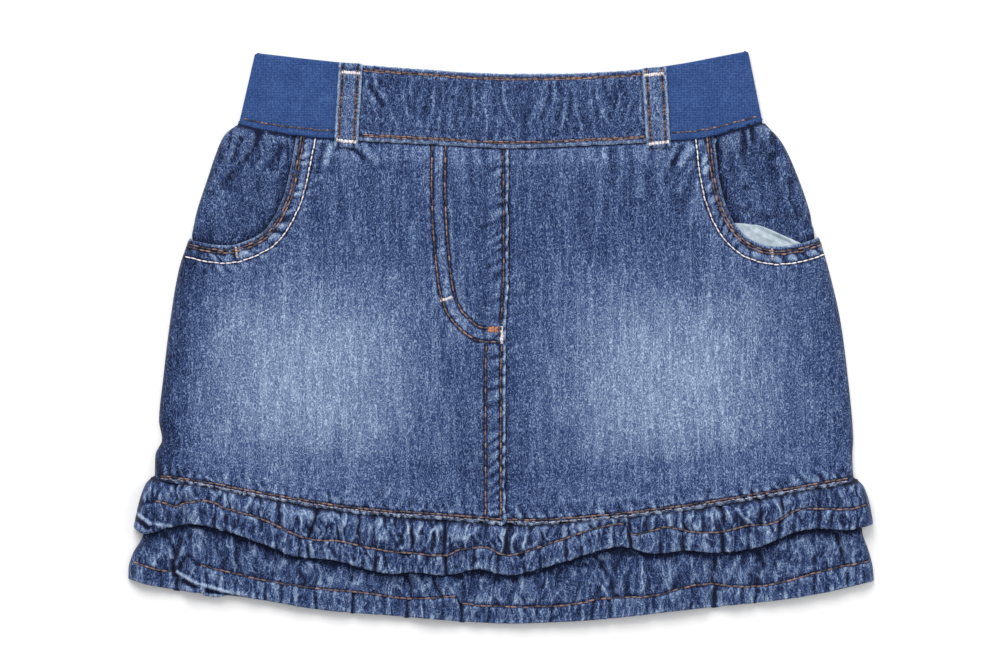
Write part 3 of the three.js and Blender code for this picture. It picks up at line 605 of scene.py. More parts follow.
DENIM_BODY = denim("denim_body", base=0.29, streaks=0.20, lines=0.13, line_length=40, maze_strength=0.38)
DENIM_HIP = denim("denim_hip", base=0.245, streaks=0.14, lines=0.12, line_length=20, maze_strength=0.40)
DENIM_BAND = denim("denim_band", base=0.265, streaks=0.13, lines=0.15, line_length=14, maze_strength=0.38)
DENIM_RUFFLE = denim("denim_ruffle", base=0.25, streaks=0.10, lines=0.32, line_length=12, maze_strength=0.34)
DENIM_STRAP = denim("denim_strap", base=0.40, streaks=0.10, lines=0.12, line_length=10, maze_strength=0.40)
print("denim nodes:", len(DENIM_BODY.node_tree.nodes))

# %% [markdown]
# The elastic is a knit: ribs one way and rows of loops the other. Modelling each loop would take millions
# of faces for something half a millimetre wide, so two fine waves are multiplied, and grain breaks them
# up. The lining is plain cotton, one pale colour with a fine mottle.

# %% Elastic and cotton
def knit(name):
    """Knitted elastic: ribs times loops, two crossed fine waves, plus grain and a broad cloud."""
    material, tree, body, add = shader(name)
    place = add("TexCoord").outputs["Object"]
    ribs = wave(add, place, 0.26, Distortion=0.6, direction="Y")
    loops = wave(add, place, 0.24, Distortion=0.6)
    cloud = yarn_noise(add, place, (0.12, 0.12, 0.12), 3.0)
    grain = yarn_noise(add, place, (1.6, 1.6, 1.6), 1.0)
    both = maths(add, "MULTIPLY", ribs, loops)
    total = maths(add, "ADD", maths(add, "MULTIPLY", both, 0.2), maths(add, "MULTIPLY", grain, 0.9))
    total = maths(add, "ADD", total, maths(add, "MULTIPLY", cloud, 0.3))
    total = maths(add, "SUBTRACT", total, 0.18)
    stops = [(0.15, linear(26, 48, 94)), (0.45, linear(42, 69, 120)), (0.85, linear(74, 103, 154))]
    tree.links.new(ramp(add, total, stops), body.inputs["Base Color"])
    relief(tree, body, add, maths(add, "ADD", both, maths(add, "MULTIPLY", grain, 0.5)), 0.5, 0.25)
    body.inputs["Roughness"].default_value = 0.9
    body.inputs["Specular IOR Level"].default_value = 0.2
    return material


def plain_cloth(name, dark, light, pitch):
    """Plain cotton: from a dark to a light colour by noise with puffs of `pitch` millimetres."""
    material, tree, body, add = shader(name)
    place = add("TexCoord").outputs["Object"]
    grain = yarn_noise(add, place, (1 / pitch,) * 3, 2.0)
    tree.links.new(ramp(add, grain, [(0.35, dark), (0.65, light)]), body.inputs["Base Color"])
    relief(tree, body, add, grain, 0.4, 0.1)
    body.inputs["Roughness"].default_value = 0.8
    return material


ELASTIC = knit("knitted_elastic")
COTTON = plain_cloth("pale_cotton", linear(156, 170, 180), linear(178, 191, 200), 2.5)
print("cloths:", ELASTIC.name, COTTON.name)

# %% [markdown]
# Topstitching is thick twisted thread. One row goes from brown to orange as its dye has worn, so each
# stitch carries a number, `tint`, and a short ramp gives it a colour. One material per colour would need
# a piece for each, and the row would still jump from one to the next.

# %% Thread
def thread(name, stops):
    """Thread: `tint` picks the colour of each stitch from a short ramp, and noise mottles it."""
    material, tree, body, add = shader(name)
    place = add("TexCoord").outputs["Object"]
    grain = yarn_noise(add, place, (1.0, 1.0, 1.0), 2.0)
    tint = add("Attribute", attribute_name="tint").outputs["Fac"]
    value = maths(add, "ADD", maths(add, "MULTIPLY", grain, 1.6), 0.15)
    colour = add("HueSaturation", {"Color": ramp(add, tint, stops), "Value": value})
    tree.links.new(colour.outputs["Color"], body.inputs["Base Color"])
    body.inputs["Roughness"].default_value = 0.7
    return material


THREAD_BROWN = thread("thread_brown", [
    (0.0, linear(50, 44, 56)), (0.75, linear(144, 118, 110)), (1.0, linear(196, 124, 80)),
])
THREAD_PALE = thread("thread_pale", [(0.0, linear(160, 146, 142)), (1.0, linear(240, 234, 236))])
print("threads:", THREAD_BROWN.name, THREAD_PALE.name)

# %% [markdown]
# The two fronts carry most of the look. Each is one sheet whose upper edge runs down the pocket mouth,
# so its columns fan out from the mouth to the hem. Its height follows the solid: low in the middle,
# higher over the hem seam, and turned down to the surface at the side. On top of that come the folds
# under the waistband, roping beside every sewn row, and the faded patch on the thigh. A cloth simulation
# could drop a sheet on the solid, but it would not put the folds where they are, nor the same each run.

# %% Front heights
DENIM = 1.3
SEAM_ALLOWANCE = 2.4
BODY_HEIGHT = 4.9
HEM_SEAM_HEIGHT = 7.2
WAIST_SEAM_HEIGHT = 4.6
HEM_SLOPE = 26
WAIST_SLOPE = 9
SLACK_HEIGHT = 0.5
SLACK_LENGTH = 60
SIDE_TURN = 6
LAP = 0.7

# Columns: x1, y1, x2, y2, width, height
FRONT_FOLDS = [
    (-84.5, 93, -88, 80, 2.6, -0.4), (-80, 95, -84, 84, 2, 0.5), (-66, 94, -60, 84, 2, 0.4),
    (-74, 93, -66, 86, 1.4, -0.5), (-47, 92, -46, 78, 3, -0.25), (-20, 91, -18, 70, 4, 0.3),
    (87.8, 93.8, 82.6, 83.7, 1.5, -0.4), (82.6, 83.7, 79.2, 74.6, 1.8, -0.3),
    (91.5, 91, 86.4, 83, 2.2, 0.5), (91, 82, 85.4, 70.8, 2.2, 0.4), (68, 92, 66, 70, 4, 0.4),
    (54, 92, 53, 74, 3, -0.3), (32, 91, 30, 70, 4, 0.3), (98, 84, 90, 56, 3.5, 0.4),
]
# Columns: x and y of the middle, half width, half height, strength
FADED = [(-92.6, -18, 49, 42, 0.385), (81.6, -18.5, 50.5, 41, 0.365)]
RAGGED = 0.10
RAGGED_SIZE = 18


def turned(inside, high):
    """A quarter ellipse: the height of a side that turns down to the surface over SIDE_TURN."""
    t = np.clip(inside / SIDE_TURN, 0, 1)
    return high * np.sqrt(t * (2 - t))


def body_height(x, y):
    """The body's height, plus a rise over the hem's layers, plus slack under the waistband's seam."""
    above_hem = y - read(HEM_SEAM, x)
    below_waist = read(WAIST_BOTTOM, x) - y
    hem = (HEM_SEAM_HEIGHT - BODY_HEIGHT) * smooth(1 - above_hem / HEM_SLOPE)
    slack = SLACK_HEIGHT * smooth(1 - below_waist / SLACK_LENGTH)
    waist = (WAIST_SEAM_HEIGHT - BODY_HEIGHT - SLACK_HEIGHT) * smooth(1 - below_waist / WAIST_SLOPE)
    return BODY_HEIGHT + hem + slack + waist


def faded(x, y):
    """Worn thighs: strength * 0.5^(|u|^3 + |v|^3), with u and v the distance in half widths, made ragged."""
    total = np.zeros(np.shape(x))
    for middle_x, middle_y, wide, high, strength in FADED:
        u = (x - middle_x) / wide + RAGGED * noise(x / RAGGED_SIZE, y / RAGGED_SIZE, 31)
        v = (y - middle_y) / high + RAGGED * noise(x / RAGGED_SIZE, y / RAGGED_SIZE, 37)
        total += strength * 0.5 ** (np.abs(u) ** 3 + np.abs(v) ** 3)
    return total


middle_heights = body_height(np.zeros(2), np.array([0.0, -86.0]))
print("height at the middle and at the hem seam:", np.round(middle_heights, 1))

# %% [markdown]
# The rows of stitching come before the cloth, because the cloth puckers beside them: two brown rows and a
# pale one along each pocket mouth, two along the curve of the mock fly, three at the centre and one over
# the hem. Nearly every row is an edge moved sideways, so it follows its edge wherever that goes.

# %% Paths of the sewn rows
def centre_row(offset, top, foot):
    """A row beside the centre edge, `offset` to its left."""
    y = np.linspace(top, foot, 60)
    return np.c_[read(CENTRE_EDGE, y, 1, 0) - offset, y]


def mouth_row(hand, offset):
    """A row beside a pocket mouth, on the front's side of it, from the side to the waistband."""
    return beside(even(POCKET_MOUTH[hand], 120), -offset if hand == "left" else offset)


FLY_CURVE = [(-33.2, 92), (-32.9, 60), (-30.7, 31), (-28.8, 20), (-26, 12), (-21, 5.5), (-13, -0.8),
             (-4.5, -2.2), (0.6, -2.2)]
FLY_WIDTH = 6.4
ABOVE_HEM = 1.7
centre_path = centre_row(0.0, 92, -88)
mouths = {hand: mouth_row(hand, 0.0) for hand in ("left", "right")}
fly = even(FLY_CURVE, 60)
# Columns: path, tint of its thread
BROWN_ROWS = {
    "left": [
        (mouth_row("left", 2.0), 0.35), (mouth_row("left", 3.3), 0.4),
        (fly, 0.35), (beside(fly, FLY_WIDTH), 0.35), (centre_row(2.0, 90, 0), 0.1),
        (centre_row(1.7, -4, -85), 0.35), (centre_row(9.0, -4, -85), 0.3),
        (along_table(HEM_SEAM, -163, 0.5, above=ABOVE_HEM), 0.35),
    ],
    "right": [
        (mouth_row("right", 2.0), 0.4), (mouth_row("right", 3.3), 0.45),
        (along_table(HEM_SEAM, 2.5, 166, above=ABOVE_HEM), 0.35),
    ],
}
PALE_ROWS = {hand: mouth_row(hand, np.linspace(8.1, 8.7, 120)) for hand in ("left", "right")}
print("brown rows:", {hand: len(rows) for hand, rows in BROWN_ROWS.items()})

# %% [markdown]
# What sewing does to a front is added in two ways: to its height, so that light finds it, and to its
# colour, which is paler where what stands up is rubbed, and darker with painted shadow under the waistband
# and beside the lap. One displaced picture could hold both, but a height in the mesh stays right from
# every side.

# %% Puckers and wear of a front
def curls(x, y):
    """Thin curling ridges: a crest of noise whose place across is bent by other noise."""
    return crest(x / 7 + noise(x / 9, y / 9, 12), y / 11, 14, 3)


def front_detail(x, y, hand):
    """Folds, gathers under the band and roping by each row, added up, in millimetres."""
    below_waist = read(WAIST_BOTTOM, x) - y
    above_hem = y - read(HEM_SEAM, x)
    detail = folds(FRONT_FOLDS, x, y) * smooth(below_waist / 5)
    gathered = billow(x / 6.5 + 0.5 * noise(x / 18, y / 18, 3), below_waist / 20, 5) - 0.3
    detail += 0.35 * gathered * fade(below_waist, 12) * smooth(below_waist / 2.5)
    detail -= 1.1 * fade(below_waist, 1.6)
    detail += puckers(hem_path, x, y, 5.0, 1.0, 6, 11)
    detail += 0.5 * curls(x, y) * np.exp(-above_hem / 9)
    to_mouth = nearest(mouths[hand], x, y)[0]
    detail += puckers(mouths[hand], x, y, 4.2, 1.7, 9, 13) * smooth((to_mouth - 0.5) / 2.5)
    detail += 0.3 * noise(x / 30, y / 45, 17) + 0.12 * noise(x / 9, y / 16, 19)
    if hand == "left":
        detail += puckers(fly, x, y, 5, 0.4, 6, 23)
    detail += puckers(centre_path, x, y, 5.5, 1.0 if hand == "left" else 0.25, 8, 29)
    return detail


SHADED_SIDE = {"left": 0.20, "right": 0.03}


def front_wear_and_shade(x, y, hand):
    """Fading less shade: thighs and rubbed edges add, the side and the seams' shadows take away."""
    below_waist = read(WAIST_BOTTOM, x) - y
    above_hem = y - read(HEM_SEAM, x)
    to_mouth, along_mouth, _ = nearest(mouths[hand], x, y)
    past_centre = x - read(CENTRE_EDGE, y, 1, 0)
    inside = from_side(BODY_SIDE, x, y, hand, -69, 47.5)
    wear_and_shade = faded(x, y) - SHADED_SIDE[hand] * smooth(1 - inside / 26) - 0.06 * smooth(1 - above_hem / 16)
    # Painted shadow of the waistband: a dark strip along its foot.
    wear_and_shade -= 0.35 * fade(below_waist, 1.5)
    wear_and_shade += 0.08 * fade(above_hem, 0.8)
    roping = billow(along_mouth / 2.9 + 0.1 * to_mouth, 0.5, 15) - 0.35
    wear_and_shade += (0.2 + 0.3 * roping) * fade(to_mouth, 0.9)
    wear_and_shade += 0.24 * roping * fade(to_mouth - 5.7, 2.4, 4)
    wear_and_shade += curls(x, y) * (0.10 * np.exp(-above_hem / 9) + 0.06 * np.exp(-below_waist / 9))
    if hand == "left":
        wear_and_shade += 0.26 * fade(past_centre, 0.6) - 0.12 * fade(past_centre + 2, 1.2)
    else:
        # Painted shadow of the left front's lap: a dark line beside its edge on the right front.
        wear_and_shade -= 0.5 * fade(past_centre, 1.9)
    return wear_and_shade


faded_middle = front_wear_and_shade(np.array([FADED[0][0]]), np.array([FADED[0][1]]), "left")[0]
print("wash in the middle of the left thigh:", round(float(faded_middle), 2))

# %% [markdown]
# A front is cut from one piece of denim. A square grid trimmed to the outline would have ragged edges, so
# its four sides are the real ones: mouth and waist, side, hem and centre. The columns crowd together near
# the side, which turns down to the surface, and near the lap.

# %% Plan of a front
CROWDED_LENGTH = 8.0
CROWDED_STEPS = 16
UNDER_BAND = 0.2
UNDER_LAP = -4.0
FOOT_STEPS = [0, 0.35, 1.0, 1.9, 3.0, 4.2]
FRONT_ROWS = np.r_[
    np.linspace(0, 0.015, 6)[:-1], np.linspace(0.015, 0.95, 184)[:-1], np.linspace(0.95, 1, 15)]


def crowded(start, end, count):
    """Even steps from start to end, but half a millimetre apart over the last CROWDED_LENGTH."""
    turn_point = end - math.copysign(CROWDED_LENGTH, end - start)
    coarse = np.linspace(start, turn_point, count - CROWDED_STEPS)[:-1]
    return np.r_[coarse, np.linspace(turn_point, end, CROWDED_STEPS + 1)]


def front_plan(hand):
    """Where a front's grid lies: from mouth and waist down to the hem, and from side to centre."""
    column = SIDE_COLUMN[hand]
    shift = 0 if hand == "left" else UNDER_LAP
    mouth = even(POCKET_MOUTH[hand], 88)
    mouth[:, 1] = np.minimum(mouth[:, 1], read(WAIST_BOTTOM, mouth[:, 0]) - UNDER_BAND)
    waist_x = crowded(mouth[-1, 0], CENTRE_EDGE[0][0] + shift, 112)[1:]
    top = np.concatenate([mouth, np.c_[waist_x, read(WAIST_BOTTOM, waist_x) - UNDER_BAND]])
    bottom_x = crowded(BODY_SIDE[-1][column], CENTRE_EDGE[-1][0] + shift, len(top))
    bottom_x[:len(FOOT_STEPS)] = bottom_x[0] + np.sign(bottom_x[-1] - bottom_x[0]) * np.array(FOOT_STEPS)
    bottom = np.c_[bottom_x, read(HEM_SEAM, bottom_x)]
    side_y = mouth[0, 1] + (bottom[0, 1] - mouth[0, 1]) * FRONT_ROWS
    side = np.c_[read(BODY_SIDE, side_y, 0, column), side_y]
    side[0] = mouth[0]
    centre_y = top[-1, 1] + (bottom[-1, 1] - top[-1, 1]) * FRONT_ROWS
    centre = np.c_[read(CENTRE_EDGE, centre_y, 1, 0) + shift, centre_y]
    plan = patch(top, bottom, side, centre, FRONT_ROWS)
    return plan if hand == "left" else plan[::-1]


print("grid of a front:", front_plan("left").shape[:2])

# %% [markdown]
# Now plan, height, wear and painted shade come together. The left front laps over the right one, the right
# front stands up a little round its pocket, where the lining peeps out, and each sewn row presses into the
# cloth, with painted shade in its groove.

# %% The two fronts
ROW_DEPTH = 0.4
ROW_SHADE = 0.22
LAP_SLOPE = 12
UNDER_DROP = 0.7
ALLOWANCE_HEIGHT = 8
# The place round which the right front stands up: x, y, height, radius of its level top, slope
GAPE_X, GAPE_Y, GAPE_HEIGHT, GAPE_RADIUS, GAPE_SLOPE = 131, 46, 1.2, 26, 25


def front(name, hand):
    """One front: its plan raised to the body's height, with the sewing's detail on it."""
    plan = front_plan(hand)
    x, y = plan[..., 0], plan[..., 1]
    above_hem = y - read(HEM_SEAM, x)
    inside = from_side(BODY_SIDE, x, y, hand, -69, 47.5)
    sewn = [path for path, tint in BROWN_ROWS[hand]] + [PALE_ROWS[hand]]
    close = beside_rows(sewn, x, y, 1.0)
    high = body_height(x, y) + front_detail(x, y, hand) - ROW_DEPTH * close
    past_centre = x - read(CENTRE_EDGE, y, 1, 0)
    if hand == "left":
        high += LAP * smooth(1 + past_centre / LAP_SLOPE)
    else:
        past_top = np.hypot(x - GAPE_X, y - GAPE_Y) - GAPE_RADIUS
        high += GAPE_HEIGHT * smooth(1 - past_top / GAPE_SLOPE)
        high -= UNDER_DROP * smooth((1.5 - past_centre) / 2)
    z = turned(inside, high)
    wear_and_shade = front_wear_and_shade(x, y, hand) + worn(high, 2, 1.2) + worn(high, 6, 0.3) - ROW_SHADE * close
    wall = np.where((above_hem < ALLOWANCE_HEIGHT) & (inside > SIDE_TURN), SEAM_ALLOWANCE, DENIM)
    grid = np.stack([x, y, z], axis=-1)
    return shell(name, grid, wall, DENIM_BODY, wear_and_shade), grid


front_left, left_grid = front("front_left_cloth", "left")
front_right, right_grid = front("front_right_cloth", "right")

# %% [markdown]
# The hip pieces lie behind the pocket mouths, and the elastic draws their upper edges into gathers. They
# could be one with the back, but a real skirt cuts them apart, and the mouth shows their edge. The large
# folds are given one by one where the elastic pulls hardest, and noise gathers the rest.

# %% Tables of the hips
HIP_UNDER = {
    "left": [(-89, 95.6), (-93, 76), (-97, 61), (-106, 45)],
    "right": [(93.6, 95.4), (96.5, 74), (101.5, 55), (112, 41)],
}
HIP_FOLDS = [
    (-122.4, 100, -136, 71, 4, 1.7), (-115.7, 98, -118, 87, 2.0, -1.3), (-118, 87, -140, 66.5, 2.6, -1.3),
    (-124.5, 95, -128, 85, 1.8, -1.6), (-104.4, 91, -109, 82, 2.2, -1.3), (110, 97, 116, 76, 3, 1.2),
    (115.5, 99, 117, 91, 1.0, -0.9), (120, 99, 121, 93.5, 1.1, -1.1), (124, 101, 129, 90, 1.7, 1.2),
    (112.5, 98, 114, 91, 1.0, 1.0), (118, 99, 119, 91, 0.9, 1.0), (122.5, 100, 124, 94, 0.9, 0.9),
    (138.2, 75, 139.5, 66, 1.4, -1.5), (139.5, 66, 146, 50, 1.6, -1.6), (134, 84, 141, 58, 3, 1.2),
]
HIP_HEIGHT = 2.9
HIP_STEPS = 90
HIP_FOOT = 38
LINING_ROOM = 12
print("folds placed by hand at the hips:", len(HIP_FOLDS))

# %% [markdown]
# A hip piece is level where it lies under the front and rises in the open mouth, where nothing holds it
# down. Under the front it must stay low, or it would push through.

# %% The hip pieces
def hip_plan(hand):
    """A hip's grid: a patch between the elastic, the side, the foot and the edge under the front."""
    under = even(HIP_UNDER[hand], HIP_STEPS)
    start_x = HIP_SIDE[0][SIDE_COLUMN[hand]]
    top_x = np.linspace(start_x, under[0, 0], HIP_STEPS)
    top = np.c_[top_x, read(WAIST_BOTTOM, top_x) + 1.2]
    side_y = np.linspace(top[0, 1], HIP_FOOT, HIP_STEPS)
    ease = smooth(np.linspace(0, 20, HIP_STEPS))
    side_x = start_x * (1 - ease) + read(HIP_SIDE, side_y, 0, SIDE_COLUMN[hand]) * ease
    side = np.c_[side_x, side_y]
    share = np.linspace(0, 1, HIP_STEPS)[:, None]
    foot = side[-1] * (1 - share) + under[-1] * share
    foot[:, 1] -= 4 * np.sin(np.pi * share[:, 0])
    plan = patch(top, foot, side, under)
    return plan if hand == "left" else plan[::-1]


def hip(name, hand):
    """A hip piece: level under the front, puffed up in the open mouth, gathered below the elastic."""
    plan = hip_plan(hand)
    x, y = plan[..., 0], plan[..., 1]
    away, _, which = nearest(mouths[hand], x, y)
    open_side = which > 0 if hand == "left" else which < 0
    below_waist = read(WAIST_BOTTOM, x) - y
    lining_room = LINING_ROOM * smooth((64 - y) / 8) * (hand == "right")
    open_share = np.where(open_side, smooth((away - 1 - lining_room) / 7), 0)
    gathers = billow(x / 5.2 + 0.5 * noise(x / 15, y / 15, 41), below_waist / 22, 43) - 0.35
    puff = (1.9 + 1.6 * gathers) * smooth(1 - below_waist / 26) * (0.4 + 0.6 * smooth(below_waist / 3))
    rise = 1.1 + np.maximum(0, puff + folds(HIP_FOLDS, x, y) * smooth(below_waist / 3))
    rise += 0.25 * noise(x / 12, y / 18, 47) + puckers(waist_path, x, y, 4, 0.4, 8, 49)
    inside = from_side(HIP_SIDE, x, y, hand, 36, 102)
    low = HIP_HEIGHT * smooth((56 - y) / 4)
    z = low + turned(inside, HIP_HEIGHT + open_share * rise - low)
    grid = np.stack([x, y, z], axis=-1)
    pale = crest(x / 9 + 0.8 * noise(x / 8, y / 8, 45), y / 16, 46, 6)
    crowded_top = smooth(1 - below_waist / 16)
    wear = (1 + 0.8 * crowded_top) * (worn(rise, 2, 0.9) + worn(rise, 8, 0.2))
    wear_and_shade = np.clip(wear, -0.18 - 0.17 * crowded_top, 0.07 + 0.15 * crowded_top) + 0.1 * pale - 0.02
    # Painted shadow of the front's raised edge along the pocket mouth.
    wear_and_shade -= 0.28 * fade(away, 2.2)
    # Painted shadow of the elastic along its foot.
    wear_and_shade -= 0.3 * fade(below_waist, 2.2)
    return shell(name, grid, DENIM, DENIM_HIP, wear_and_shade)


hip_left = hip("hip_left_cloth", "left")
hip_right = hip("hip_right_cloth", "right")

# %% [markdown]
# A crescent of the pocket's cotton peeps out at the right mouth, where the front gapes. The whole pocket
# bag hangs inside and is never seen, so only the crescent is made, from its free edge to a line that is
# well under the front.

# %% Pocket lining
LINING_TOP = [(111.5, 54.6), (118.6, 54.2), (124.3, 53.1), (132.5, 49.9), (138.7, 47.3), (143.2, 45.2)]
LINING_FOLDS = [(117, 54, 129, 47, 1.3, 0.9), (122, 52, 138, 45.5, 1.2, -1.2), (131, 50, 141, 45, 0.9, 0.7)]
LINING_FOOT = [(111, 53.2), (118, 45), (127, 41.5), (142.6, 40.5)]
LINING_HEIGHT = 4.3
LINING_WALL = 0.7


def lining():
    """Straight lines from the free edge to the foot, with soft waves and three folds on top."""
    upper, lower = even(LINING_TOP, 60), even(LINING_FOOT, 60)
    v = np.linspace(0, 1, 20)[None, :, None]
    plan = upper[:, None] * (1 - v) + lower[:, None] * v
    x, y = plan[..., 0], plan[..., 1]
    z = LINING_HEIGHT + 0.25 * noise(x / 8, y / 5, 53) + folds(LINING_FOLDS, x, y)
    grid = np.stack([x, y, z], axis=-1)
    return shell("lining_cloth", grid, LINING_WALL, COTTON, np.zeros_like(z))


lining_piece = lining()

# %% [markdown]
# The waistband is denim in front and elastic round the sides and back. The denim is sewn to the elastic
# under the belt loops and is pulled short by it, so its puckers run up and down, close together, and die
# out at the two loops.

# %% Tables of the waistband
BAND_HEIGHT = 4.7
BAND_WALL = 2.0
LOOPS = {
    "left": {"top": (-71.9, 130.8), "foot": (-74.2, 91.3), "width": 10.3},
    "right": {"top": (73.2, 128.7), "foot": (75.4, 91.3), "width": 10.6},
}
SEAM_GAP = 0.15
BAND_FOLDS = [(-62.5, 120, -56.5, 111.5, 1.5, -1.1), (-62.5, 129, -60, 121, 1.4, 0.6)]


def join_x(hand, down):
    """Where the elastic meets the denim, under the middle of the belt loop."""
    loop = LOOPS[hand]
    return loop["top"][0] * (1 - down) + loop["foot"][0] * down


def band_y(x, down):
    """The y that is one share of the way down the waistband: its two edges, blended."""
    return read(WAIST_TOP, x) * (1 - down) + read(WAIST_BOTTOM, x) * down


def along_band(first, last, down, count=160):
    """A path in even steps of x along the waistband, one share of the way down it."""
    x = np.linspace(first, last, count)
    return np.c_[x, band_y(x, down)]


print("waistband at the middle, in mm high:", round(float(band_y(0.0, 0.0) - band_y(0.0, 1.0)), 1))

# %% [markdown]
# The tucks are noise stretched along the band's height, and their strength follows a half sine between the
# rows, since the stitches hold the cloth at its top and at its foot.

# %% The waistband's front
def band_front():
    """The denim front: tucks and ridges of noise, strongest half way down, held at the rows and joins."""
    share, down = np.meshgrid(np.linspace(0, 1, 250), np.linspace(0, 1, 56), indexing="ij")
    left, right = join_x("left", down) + SEAM_GAP, join_x("right", down) - SEAM_GAP
    x = left * (1 - share) + right * share
    y = band_y(x, down)
    held = smooth(share * 16) * smooth((1 - share) * 16)
    free = np.sin(np.pi * np.clip((down - 0.04) / 0.9, 0, 1)) ** 0.5
    bent = x + 2 * noise(x / 9, y / 12, 61)
    tuck = billow(bent / 5.6, y / 30, 63) - 0.35
    ridge = crest(bent / 7.5 + 4, y / 34, 64, 6) * free
    z = BAND_HEIGHT + held * ((0.6 + 0.5 * share) * tuck * free + 0.4 * ridge + folds(BAND_FOLDS, x, y))
    z += held * 0.35 * noise(x / 2.4, y / 2.4, 67) * (1 - free)
    rows = fade(down - 0.05, 0.02) + fade(down - 0.942, 0.02)
    z += 0.5 * smooth((down - 0.8) / 0.2) - 0.35 * rows
    # Painted shade in the grooves of the two sewn rows; the pale top and foot set below are rubbed wear.
    wear_and_shade = worn(z, 3, 0.7) + 0.10 * ridge - 0.02 - 0.16 * rows
    wear_and_shade += 0.2 * smooth((down - 0.965) / 0.02) + 0.08 * smooth((0.03 - down) / 0.02)
    grid = np.stack([x, y, z], axis=-1)
    return shell("band_front_cloth", grid, BAND_WALL, DENIM_BAND, wear_and_shade, rim_wear=0.4), grid


band_front_piece, band_grid = band_front()

# %% [markdown]
# The elastic is one C-shaped strip: over the front as far as each belt loop, round the sides, and flat
# underneath. Two flat strips would leave open edges at the sides, so one section, three straight runs and
# two half turns, is carried down the band's height.

# %% The elastic
ELASTIC_WALL = 2.2
ELASTIC_ROW = 0.91


def elastic_layer(depth):
    """The C at one depth into the cloth: runs at middle height +- radius, and turns of that radius."""
    middle_height = BAND_HEIGHT / 2
    radius = middle_height - depth
    down = np.linspace(0, 1, 30)
    edge = {"left": -118.1 - 7.7 * down, "right": 118.6 + 6.7 * down}
    middle = {"left": edge["left"] + middle_height, "right": edge["right"] - middle_height}

    def straight(a, b, z, count):
        """Columns in even steps from a to b at one height."""
        runs = [a * (1 - s) + b * s for s in np.linspace(0, 1, count)]
        return [np.stack([x, band_y(x, down), np.full_like(x, z)], axis=1) for x in runs]

    def turn(hand, angle):
        """Columns round half a turn, less its two ends, which the runs already have."""
        columns = []
        for s in np.linspace(0, 1, 12)[1:-1]:
            a = angle - math.pi * s
            x = middle[hand] + radius * math.cos(a)
            z = np.full_like(x, middle_height + radius * math.sin(a))
            columns.append(np.stack([x, band_y(edge[hand], down), z], axis=1))
        return columns

    return np.array([
        *straight(join_x("right", down) + SEAM_GAP, middle["right"], middle_height + radius, 40),
        *turn("right", math.pi / 2),
        *straight(middle["right"], middle["left"], middle_height - radius, 120),
        *turn("left", -math.pi / 2),
        *straight(middle["left"], join_x("left", down) - SEAM_GAP, middle_height + radius, 40),
    ])


def elastic_band():
    """The elastic: its outer and inner layers, with soft waves and a sewn groove where it lies on top."""
    outer, inner = elastic_layer(0.0), elastic_layer(ELASTIC_WALL)
    x, y = outer[..., 0], outer[..., 1]
    on_top = outer[..., 2] > BAND_HEIGHT / 2
    row = fade(np.linspace(0, 1, 30)[None, :] - ELASTIC_ROW, 0.03)
    outer[..., 2] += np.where(on_top, 0.18 * noise(x / 14, y / 10, 71) - 0.25 * row, 0)
    wear_and_shade = np.zeros(outer.shape[:2])
    return shell("elastic_cloth", outer, ELASTIC_WALL, ELASTIC, wear_and_shade, inner), outer


elastic_piece, elastic_grid = elastic_band()

# %% [markdown]
# A belt loop is a strap folded in three and sewn down at both ends, so it is crowned across, bridges the
# band between its ends, and is rubbed pale along both edges. A bent box would have straight edges; a grid
# with a little noise in its height has the lumps of three layers.

# %% Belt loops
LOOP_HEIGHT = 6.9
LOOP_WALL = 1.7
LOOP_ROW = 3.6


def belt_loop(hand):
    """A folded strap: a crown across, a bridge along, less a groove at each sewn row and each end."""
    loop = LOOPS[hand]
    (x1, y1), (x2, y2) = loop["top"], loop["foot"]
    share, down = np.meshgrid(np.linspace(0, 1, 28), np.linspace(0, 1, 90), indexing="ij")
    lean = (x2 - x1) / (y1 - y2)
    off = (share - 0.5) * loop["width"]
    x = x1 * (1 - down) + x2 * down + off
    y = y1 * (1 - down) + y2 * down + off * lean
    z = LOOP_HEIGHT + 0.35 * np.sin(np.pi * share) + 0.5 * np.sin(np.pi * down)
    z += 0.16 * noise(x / 2.2, y / 2.0, 81) + 0.12 * noise(x / 4, y / 3, 83)
    ends = fade(down - 0.07, 0.03) + fade(down - 0.93, 0.03)
    z -= 0.35 * ends
    rows = fade(np.abs(off) - LOOP_ROW, 0.7)
    z -= 0.3 * rows
    # The pale edges are rubbed wear; the sewn rows and the sewn-down ends get painted shade in their grooves.
    wear_and_shade = 0.3 * smooth((np.abs(2 * share - 1) - 0.86) / 0.1) + worn(z, 2, 1.2) - 0.22 * rows - 0.1 * ends
    grid = np.stack([x, y, z], axis=-1)
    return shell("belt_loop_" + hand + "_cloth", grid, LOOP_WALL, DENIM_STRAP, wear_and_shade), grid


loop_left, loop_left_grid = belt_loop("left")
loop_right, loop_right_grid = belt_loop("right")

# %% [markdown]
# Two ruffles hang from the hem seam. A ruffle is a long strip drawn up along one edge: near the seam it
# is crowded with short sharp gathers, its doubled hem lies flatter, and a sewn row parts the two. Noise
# alone would make every gather alike, so the main creases are listed one by one, as they fell on this one,
# and noise fills the space between.

